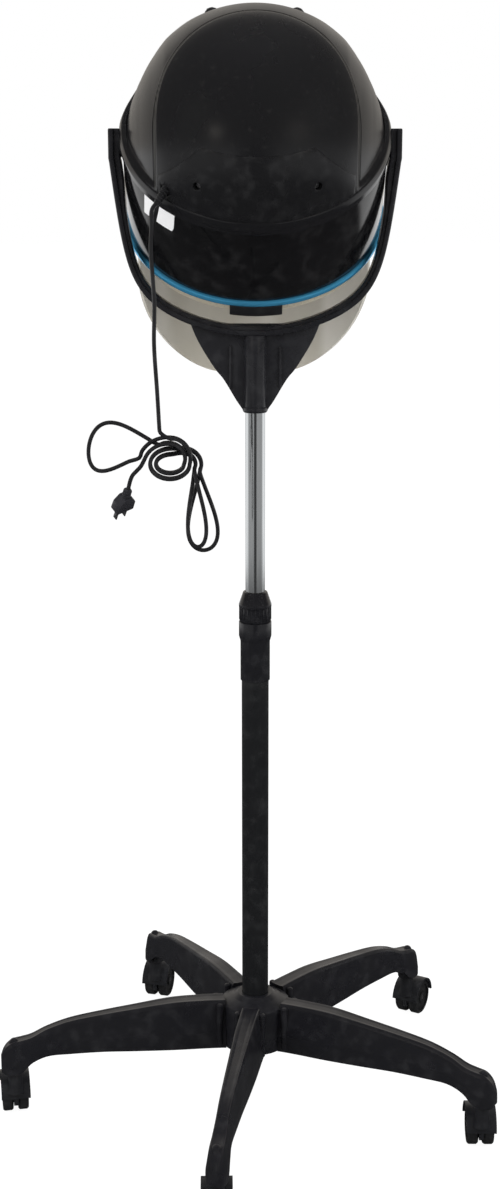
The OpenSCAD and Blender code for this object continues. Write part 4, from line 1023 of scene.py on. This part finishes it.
# %% The fork's bow
ARM_IN, ARM_OUT, ARM_T, BAR_R = 165.0, 177.0, 12.0, 230.0
ARM_LEAN, ARM_DEEPER, BAR_ENDS, ARM_STARTS = 7.2, 2.7, 62, 78
FORK_SECTION = rounded(
    [(-1, -10.5), (4.6, -10.5), (5.6, -13), (12, -13), (12, 13), (-1, 13),
     (-ARM_DEEPER, 11), (-ARM_DEEPER, -9)], [0.6, 0.6, 1.6, 2.6, 2.6, 0.8, 0.6, 0.6], 4)


def fork_reach(phi):
    """How far out the bow is: the leaning arms run smoothly into a round bar."""
    lean = math.radians(ARM_LEAN)
    s, c = abs(wave(phi)), math.cos(math.radians(phi))
    outward = max(s * math.cos(lean) + c * math.sin(lean), 0.01)
    arm = (ARM_OUT * math.cos(lean) + 20 * math.sin(lean)) / outward
    return (BAR_R ** -12 + arm ** -12) ** (-1 / 12)


def bow_ring(phi):
    """The section at one angle from the bottom; the bar is thinner inside than the arms."""
    r = fork_reach(phi)
    c = math.cos(math.radians(phi))
    thinner = ARM_DEEPER * (1 - float(smoothstep(abs(phi), BAR_ENDS, ARM_STARTS)))
    section = [(u + thinner if u < 2 else u, y) for u, y in FORK_SECTION]
    return [((r - ARM_T + u) * wave(phi), y, PIVOT_Z - (r - ARM_T + u) * c) for u, y in section]


def arm_ring(side, z, shrink):
    """The section across an arm, drawn in round its middle towards the tip."""
    middle = ARM_IN + ARM_T / 2
    return [
        (side * (middle + (u - ARM_T / 2) * shrink), y * shrink, PIVOT_Z + z)
        for u, y in FORK_SECTION
    ]


arm_tips = [(-17, 1.0), (0, 1.0), (12, 1.0), (15.5, 1.0), (17, 0.97), (17.8, 0.90), (18, 0.78)]
bow = skin(
    [arm_ring(-1, z, k) for z, k in reversed(arm_tips)]
    + [bow_ring(phi) for phi in np.linspace(-83, 83, 111)]
    + [arm_ring(1, z, k) for z, k in arm_tips]
)
print("bow:", len(bow.faces), "faces")

# %% The fork's web and socket
SOCKET_Z, SOCKET_R = 940.0, 14.5
half_web = [(14.0, 0), (16.5, 5), (24, 16), (39, 41), (51, 56), (70, 87), (80, 110)]
half_web = [tuple(p) for p in smooth_path([(x, y, 0) for x, y in half_web], 4)[:, :2]]
web_outline = half_web + [(-x, z) for x, z in reversed(half_web)]
web = plate(web_outline, -4.5, 4.5).at(moved(0, 0, SOCKET_Z) @ turned(90, "X"))
web = web.softened(1.2, 50, 3)
sleeve = lathe(rounded(
    [(12.6, 0), (SOCKET_R, 0), (SOCKET_R, 96), (12.6, 96)], [0.4, 1.4, 3, 0.4], 4), 64)
foot_band = lathe(rounded([(13, 1), (15.6, 1), (15.6, 7), (13, 7)], 0.9, 3), 64)
socket = (sleeve + foot_band).at(moved(z=SOCKET_Z))
RIB_LOW, RIB_HIGH = SOCKET_Z + 30, SOCKET_Z + 83
web_ribs = joined(
    box((side * 31 - 1.5, -7, RIB_LOW), (side * 31 + 1.5, 7, RIB_HIGH)).softened(1.1, 40, 3)
    for side in SIDES
)
(bow + web + socket + web_ribs).piece("fork_moulding", fork_black, "mast", "fork", sharp=42)

# %% [markdown]
# ## The visor
# A bent sheet hangs from two lugs in front of the hood. It is part of an upright
# cylinder, cut along the hood's mouth above, and below cut level under the face and
# then along a slope, with a thicker border and two upright ribs. Cutting a cylinder
# with a Boolean would leave ragged edges, so the grid follows the cuts instead.

# %% The visor's sheet
HINGE_Y, HINGE_Z, VISOR_R = 205.553, 1295.283, 146.0
FRONT_Y = HINGE_Y - 2.2
VISOR_Y, BOTTOM_Z, BACK_Y = FRONT_Y - VISOR_R, HINGE_Z - 327, 60.35
MOUTH_Y, MOUTH_Z = 85.29, 1166.89
CORNER, CORNER_SOFT = 8, 6


def visor_low(y):
    """Level under the face, then rising at 45 degrees towards the back."""
    back = FRONT_Y - y - CORNER
    return BOTTOM_Z - 1 + (back + math.hypot(back, CORNER_SOFT)) / 2


def visor_high(y):
    """Along the hood's mouth, and no higher than the lugs."""
    return min(MOUTH_Z + (y - MOUTH_Y) * math.tan(math.radians(LEAN)), HINGE_Z - 30)


BORDER, BORDER_OUT, RIB_AT, RIB_OUT, RIB_HALF = 9.0, 0.7, 35, 0.8, 0.9


def visor_point(angle, level, r):
    """A point of the sheet; its outer side rises at the border and the ribs."""
    y_mid = VISOR_Y + VISOR_R * math.cos(math.radians(angle))
    low, high = visor_low(y_mid), visor_high(y_mid)
    z = low + (high - low) * level
    border = BORDER_OUT if z - low < BORDER else 0.0
    ribbed = RIB_OUT * max(0.0, 1 - (abs(abs(angle) - RIB_AT) / RIB_HALF) ** 4)
    grown = r + (max(border, ribbed) if r > VISOR_R - 1 else 0.0)
    a = math.radians(angle)
    return (grown * math.sin(a), VISOR_Y + grown * math.cos(a), z)


reach = math.degrees(math.acos((BACK_Y + 0.3 - VISOR_Y) / VISOR_R))
beside_ribs = [s * (RIB_AT + d) for s in SIDES for d in (-0.95, -0.6, 0, 0.6, 0.95)]
columns = np.array(sorted(list(np.linspace(-reach, reach, 141)) + beside_ribs))
levels = np.concatenate([[0, 0.004], np.linspace(0.012, 0.988, 40), [0.996, 1]])
outer = [[visor_point(a, v, VISOR_R) for v in levels] for a in columns]
inner = [[visor_point(a, v, VISOR_R - 2.5) for v in reversed(levels)] for a in columns]
sheet = skin([o + i for o, i in zip(outer, inner)])
print(f"visor: {2 * reach:.0f} degrees of a cylinder, {len(columns)} columns")

# %% The visor's lugs
LUG_W = 10
STRAP = [(HINGE_Y + 5, HINGE_Z), (FRONT_Y + 1.5, HINGE_Z - 20), (FRONT_Y, HINGE_Z - 38),
         (FRONT_Y - 1.8, HINGE_Z - 34), (FRONT_Y - 1.8, HINGE_Z)]
SIDEWAYS = Matrix(((0, 0, 1, 0), (1, 0, 0, 0), (0, 1, 0, 0), (0, 0, 0, 1)))
knuckle = lathe(rounded(
    [(2.05, 0), (5, 0), (5, LUG_W), (2.05, LUG_W)], [0.2, 0.8, 0.8, 0.2], 3), 32)
lugs = joined(
    plate(STRAP, 0, LUG_W).at(moved(x) @ SIDEWAYS).softened(0.5, 40, 2)
    + knuckle.at(moved(x, HINGE_Y, HINGE_Z) @ turned(90, "Y"))
    for x in (-28, 18)
)
(sheet + lugs).piece("visor_sheet", visor_smoke, "visor", "visor", sharp=45)

# %% [markdown]
# ## The pole's collar and lock nut
# The lower tube ends in a plastic collar with a thin skirt. The lock nut above it has
# grip ribs below and a glossy cone above. Both are turned. The ribs are one small post
# that the same rule as the collar's repeats, so their number is a single value.

# %% The collar and the lock nut
NUT_Z, NUT_TOP, COLLAR_R = 671.0, 710.0, 21.0
COLLAR_Z = NUT_Z - 26
SKIRT_LOW, GRIP_LOW, GRIP_TOP = COLLAR_Z - 52, NUT_Z + 2, NUT_Z + 19
collar_profile = rounded(
    [(17.5, SKIRT_LOW), (19, SKIRT_LOW), (19, COLLAR_Z), (COLLAR_R, COLLAR_Z + 7),
     (COLLAR_R, NUT_Z), (17.5, NUT_Z)], [0, 0.6, 1.5, 2, 0.8, 0], 4)
lathe(collar_profile, 96).piece("collar_skirt", collar_black, "base", "collar_body")
nut_profile = rounded(
    [(19.3, NUT_Z + 0.4), (20, NUT_Z + 0.4), (20, GRIP_TOP), (COLLAR_R, GRIP_TOP + 0.6),
     (COLLAR_R, GRIP_TOP + 4), (15.5, NUT_TOP), (12.8, NUT_TOP), (12.8, NUT_Z + 30),
     (19.3, NUT_Z + 26)], [0, 0.4, 0.2, 0.6, 1.2, 1.4, 0.3, 0, 0], 4)
lathe(nut_profile, 96).piece("lock_nut_body", collar_black, "lock_nut", "lock_nut")
grip = rounded(
    [(0, GRIP_LOW), (0.9, GRIP_LOW), (0.9, GRIP_TOP), (0, GRIP_TOP)], [0, 0.5, 0.3, 0], 2, False)
repeated(
    "lock_nut_grip", lathe(grip, 8, False), collar_black, "lock_nut", 24, 19.9,
    Matrix.Identity(4))

# %% [markdown]
# ## The legs
# Each leg is a hollow moulding, open below like a channel. Its section is a closed
# line that goes up over the outside and back along the inside, and it changes from
# station to station: tall at the hub, low and narrow where the caster's socket starts.

# %% The legs' stations
STEP, FIRST, REACH, HUB_R, SEAT_Z = 72.0, -99.3, 325.0, 46.0, 66.0
W, S = 19.0, 11.5
# how far out, from 0 at the hub; bottom; top; half a width; half a ridge
STATIONS = np.array([
    [-0.012, 17, 84, W, W * 0.58],
    [0, 18, 84, W, W * 0.58],
    [0.09, 19, 85, W * 0.97, W * 0.56],
    [0.24, 20, 85, W * 0.93, W * 0.54],
    [0.42, 22, 80, W * 0.84, W * 0.47],
    [0.58, 24, 75, W * 0.74, W * 0.42],
    [0.73, 24, 69, S * 1.08, S * 0.62],
    [0.84, 23, 60, S, S * 0.58],
    [0.915, 16, 50, S * 1.12, S * 0.66],
    [0.965, 4, 46.5, S * 1.2, S * 0.7],
    [1.01, 0, 44, S * 1.16, S * 0.66],
    [1.045, 0.5, 36, S * 0.95, S * 0.5],
    [1.064, 3, 24, S * 0.6, S * 0.3],
])
LEG_WALL = 3.2
print("leg crown above the hub's shoulder:", STATIONS[1][2] + SEAT_Z)


def leg_section(r, low, high, wide, ridge, depth):
    """One closed ring: outside up, over the ridge and down, then back along the inside."""
    h = high - low
    outside = rounded(
        [(-wide, low), (-wide * 0.98, low + h * 0.35), (-ridge - 1.8, high - 5),
         (-ridge, high), (-ridge * 0.45, high - 1.0), (ridge * 0.45, high - 1.0),
         (ridge, high), (ridge + 1.8, high - 5), (wide * 0.98, low + h * 0.35), (wide, low)],
        [0, 10, 4, 1.5, 2, 2, 1.5, 4, 10, 0], 3, False)
    w, crown = LEG_WALL, max(ridge - 2.4, 1.0)
    roof = low + 0.6 + (h - 4.2) * depth
    bend = low + (roof - low) * 0.35
    inside = [(wide - w, low), (wide * 0.98 - w, bend), (crown, roof),
              (-crown, roof), (-wide * 0.98 + w, bend), (-wide + w, low)]
    return [(r, y, SEAT_Z + z) for y, z in list(outside) + inside]


# %% The legs
def outward(q):
    """The radius at a station, from 0 at the hub to 1 at the caster's stem."""
    return HUB_R + q * (REACH - HUB_R)


stations = np.column_stack(
    [smooth_path([(v, 0, 0) for v in column], 6)[:, 0] for column in STATIONS.T])
leg_rings = []
for q, low, high, wide, ridge in stations:
    depth = float(smoothstep(q, 0.0, 0.04) * (1 - smoothstep(q, 0.74, 0.86)))
    leg_rings.append(leg_section(outward(q), low, high, wide, ridge, depth))
leg_skin = skin(leg_rings)
nose = lathe(rounded(
    [(0, 60), (13.2, 66.0), (13.4, 72), (10.5, 96), (5.2, 112), (0, 114.5)],
    [0, 0.8, 6, 20, 6, 0], 5, False), 40, False).at(moved(x=REACH))
print("leg:", len(leg_skin.faces), "faces along", len(leg_rings), "rings")

# %% The legs' posts and ribs, and all five legs
post = lathe(rounded(
    [(0, 86), (4.5, 86), (4.5, 146), (0, 148)], [0, 0.5, 2, 0], 3, False), 24, False)
posts = joined(post.at(moved(HUB_R + 5, side * 16, 0)) for side in SIDES)
RIB_FOOT = SEAT_Z + 26
cross_ribs = joined(
    box((outward(q) - 1.25, -wide, RIB_FOOT), (outward(q) + 1.25, wide, SEAT_Z + high - 4))
    for q, wide, high in ((0.24, 12, 79), (0.58, 8.6, 68))
)
whole_leg = leg_skin + nose + posts + cross_ribs
for i in range(5):
    leg = whole_leg.at(turned(FIRST + i * STEP, "Z"))
    leg.piece(f"leg_moulding_{i + 1}", leg_black, "base", f"leg_{i + 1}", sharp=40)

# %% [markdown]
# ## The hub
# The legs meet in a round block with soft shoulders. It is turned, so the lathe makes
# it in one go. Its narrow top is what the pole's lower tube comes out of.

# %% The hub
hub_profile = rounded(
    [(17.6, 84), (HUB_R, 84), (HUB_R, 143), (30, 150), (23.5, 155), (17.6, 155)],
    [0, 1, 3, 4, 1.5, 0.4], 4)
lathe(hub_profile, 96).piece("hub_block", leg_black, "base", "hub")

# %% [markdown]
# ## The casters
# Each caster is a hood over a pair of wheels that trail behind an upright stem. The
# CAD shapes are right, so copies of them are merged and their edges softened.

# %% The casters
for i in range(1, 6):
    shell = cad_form(f"caster_{i}_housing").softened(0.8, 38, 2)
    shell.piece(
        f"caster_{i}_hood", caster_black, f"caster_{i}", f"caster_{i}_housing", sharp=40)

# %% [markdown]
# ## Small parts and the rest of the CAD nodes
# The knobs and the hinge's bracket get softened copies too. Everything that stays as
# the CAD made it is hidden or has a plain shape, so it gets only its own finish, in
# its material slot.

# %% Knobs and the hinge bracket
for name in ("timer_knob", "temp_knob"):
    cad_form(name).softened(0.35, 40, 2).piece(name + "_cap", knob_black, name, name, sharp=40)
cad_form("hinge_bracket").softened(0.5, 40, 2).piece(
    "bracket_block", bracket_black, "hood", "hinge_bracket", sharp=40)

# %% Finishes of the CAD nodes
KEPT = {
    tube_black: ["lower_tube", "hub_plate"],
    chrome: ["chrome_tube"],
    zinc: [
        "hub_screws", "caster_stems", "fork_screw", "pivot_screws", "cover_screws",
        "hinge_pin", "motor_shaft",
    ] + [f"caster_{i}_axle" for i in range(1, 6)],
    bush_white: ["split_bush"],
    bracket_black: ["friction_washers"],
    guard_grey: ["fan_guard", "tube_stop", "thermostat", "timer_switch", "temp_switch"],
    liner_cream: ["inner_liner", "liner_crown"],
    fan_cream: ["impeller"],
    mica_brown: ["heater"],
    cast: ["motor"],
    wheel_black: [f"caster_{i}_wheels" for i in range(1, 6)],
}
for finish, nodes in KEPT.items():
    for node in nodes:
        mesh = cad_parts[node].data
        mesh.materials.clear()
        mesh.materials.append(finish.material)
print("CAD nodes with a finish:", sum(len(nodes) for nodes in KEPT.values()))

# %% [markdown]
# ## Floor, air and light
# A pale floor takes the shadow. The camera sees floor and world as white, while the
# light that they give is dimmer. Polished black and chrome show what stands around
# them, so glossy rays see a studio of their own. In it the floor is dark near the legs
# and pale farther out, and darkest on the camera's side.

# %% The floor
bpy.ops.mesh.primitive_plane_add(size=60, location=(0, 0, -0.0004))
floor = bpy.context.object
floor.name = "pale_floor"
paving = Finish("pale_floor", None, (0.80, 0.80, 0.80), 0.9)


def ray_kinds(finish, *kinds):
    """One mask for each kind of ray, such as Camera or Glossy."""
    path = finish.tree.nodes.new("ShaderNodeLightPath")
    return [Wire(finish, path.outputs[f"Is {kind} Ray"]) for kind in kinds]


def glow(strength):
    return paving.node("ShaderNodeEmission", {}, Color=(1, 1, 1, 1), Strength=strength)


seen, mirror = ray_kinds(paving, "Camera", "Glossy")
fx, fy = paving.axes()[:2]
far = (fx * fx + fy * fy).apply("SQRT")
ahead = (fx.apply("ABSOLUTE") / far).ramp(0.20, 0.30, 1.0, 0.0) * fy.ramp(-0.05, 0.0, 1.0, 0.0)
lit = far.ramp(2.8, 3.5) * (1.0 - ahead) * fy.ramp(-1.0, 1.0, 0.35, 1.0)
shaded = Wire(paving, paving.shader.outputs[0])
plain = paving.node("ShaderNodeMixShader", {}, seen * 0.86, shaded, glow(1.12))
in_gloss = paving.node("ShaderNodeMixShader", {}, lit, glow(0.05), glow(1.0))
both = paving.node("ShaderNodeMixShader", {}, mirror, plain, in_gloss)
paving.tree.links.new(both.socket, paving.tree.nodes["Material Output"].inputs["Surface"])
paving.bumps((paving.noise(40.0, 2.0), 1e-4))
floor.data.materials.append(paving.material)
print("floor:", len(paving.tree.nodes), "nodes")

# %% [markdown]
# ### The air
# A picture of a room could light the scene, but two smooth steps of the direction do
# it with no file. For glossy rays the air is dark on the camera's side and a pale,
# slightly warm backdrop behind, with a small bright window left and right of the
# camera for the glints. The camera and see-through pieces look at plain white.


# %% The world
class Sky(Finish):
    """The world's node tree, with the same helpers as a finish."""

    def __init__(self, name):
        world = bpy.data.worlds.new(name)
        bpy.context.scene.world = world
        world.use_nodes = True
        self.tree = world.node_tree
        self.tree.nodes.clear()
        self.coords = self.node("ShaderNodeTexCoord", {}, out="Generated")


sky = Sky("studio")
dx, dy, dz = sky.axes()
camera_ray, glossy, passing = ray_kinds(sky, "Camera", "Glossy", "Transmission")
behind = (dy * 0.973 - dz * 0.23 - dz.apply("MAXIMUM", 0.0) * 0.45).ramp(0.0, 0.30, 0.09, 0.62)
windows = (dx.apply("ABSOLUTE") * 0.56 - dy * 0.81 + dz * 0.15).ramp(0.990, 0.997, 0.0, 2.0)
AMBIENT = 0.55
mirrored = glossy * (behind.apply("MAXIMUM", windows) - AMBIENT) + AMBIENT
strength = mirrored.apply("MAXIMUM", camera_ray.apply("MAXIMUM", passing))
tint = sky.mixed(glossy, (1, 1, 1), (1.0, 0.94, 0.86))
air = sky.node("ShaderNodeBackground", {}, Color=tint, Strength=strength)
world_out = sky.tree.nodes.new("ShaderNodeOutputWorld")
sky.tree.links.new(air.socket, world_out.inputs["Surface"])
print("world:", len(sky.tree.nodes), "nodes")

# %% [markdown]
# ### The lamps
# Three large lamps give soft light from the camera's side and from above, at a plain
# level, so a colour renders about as it is written. Seen in polished plastic they
# would be square patches, so glossy rays don't see them.


# %% The lamps
def soft_lamp(name, at, size, power, target=(0, 0, 1.0)):
    lamp = bpy.data.lights.new(name, "AREA")
    lamp.shape, lamp.size, lamp.size_y, lamp.energy = "RECTANGLE", size[0], size[1], power
    thing = new_object(name, lamp)
    thing.location = at
    aim = (Vector(target) - Vector(at)).to_track_quat("-Z", "Y")
    thing.rotation_euler = aim.to_euler()
    thing.visible_glossy = False
    print(f"{name}: {power} W")


soft_lamp("left_box", (-2.6, -1.6, 2.4), (1.2, 1.6), 60)
soft_lamp("right_box", (2.6, -1.6, 2.4), (1.2, 1.6), 60)
soft_lamp("top_box", (0, 0.4, 3.6), (1.6, 1.6), 45)
bpy.context.scene.view_settings.view_transform = "Standard"
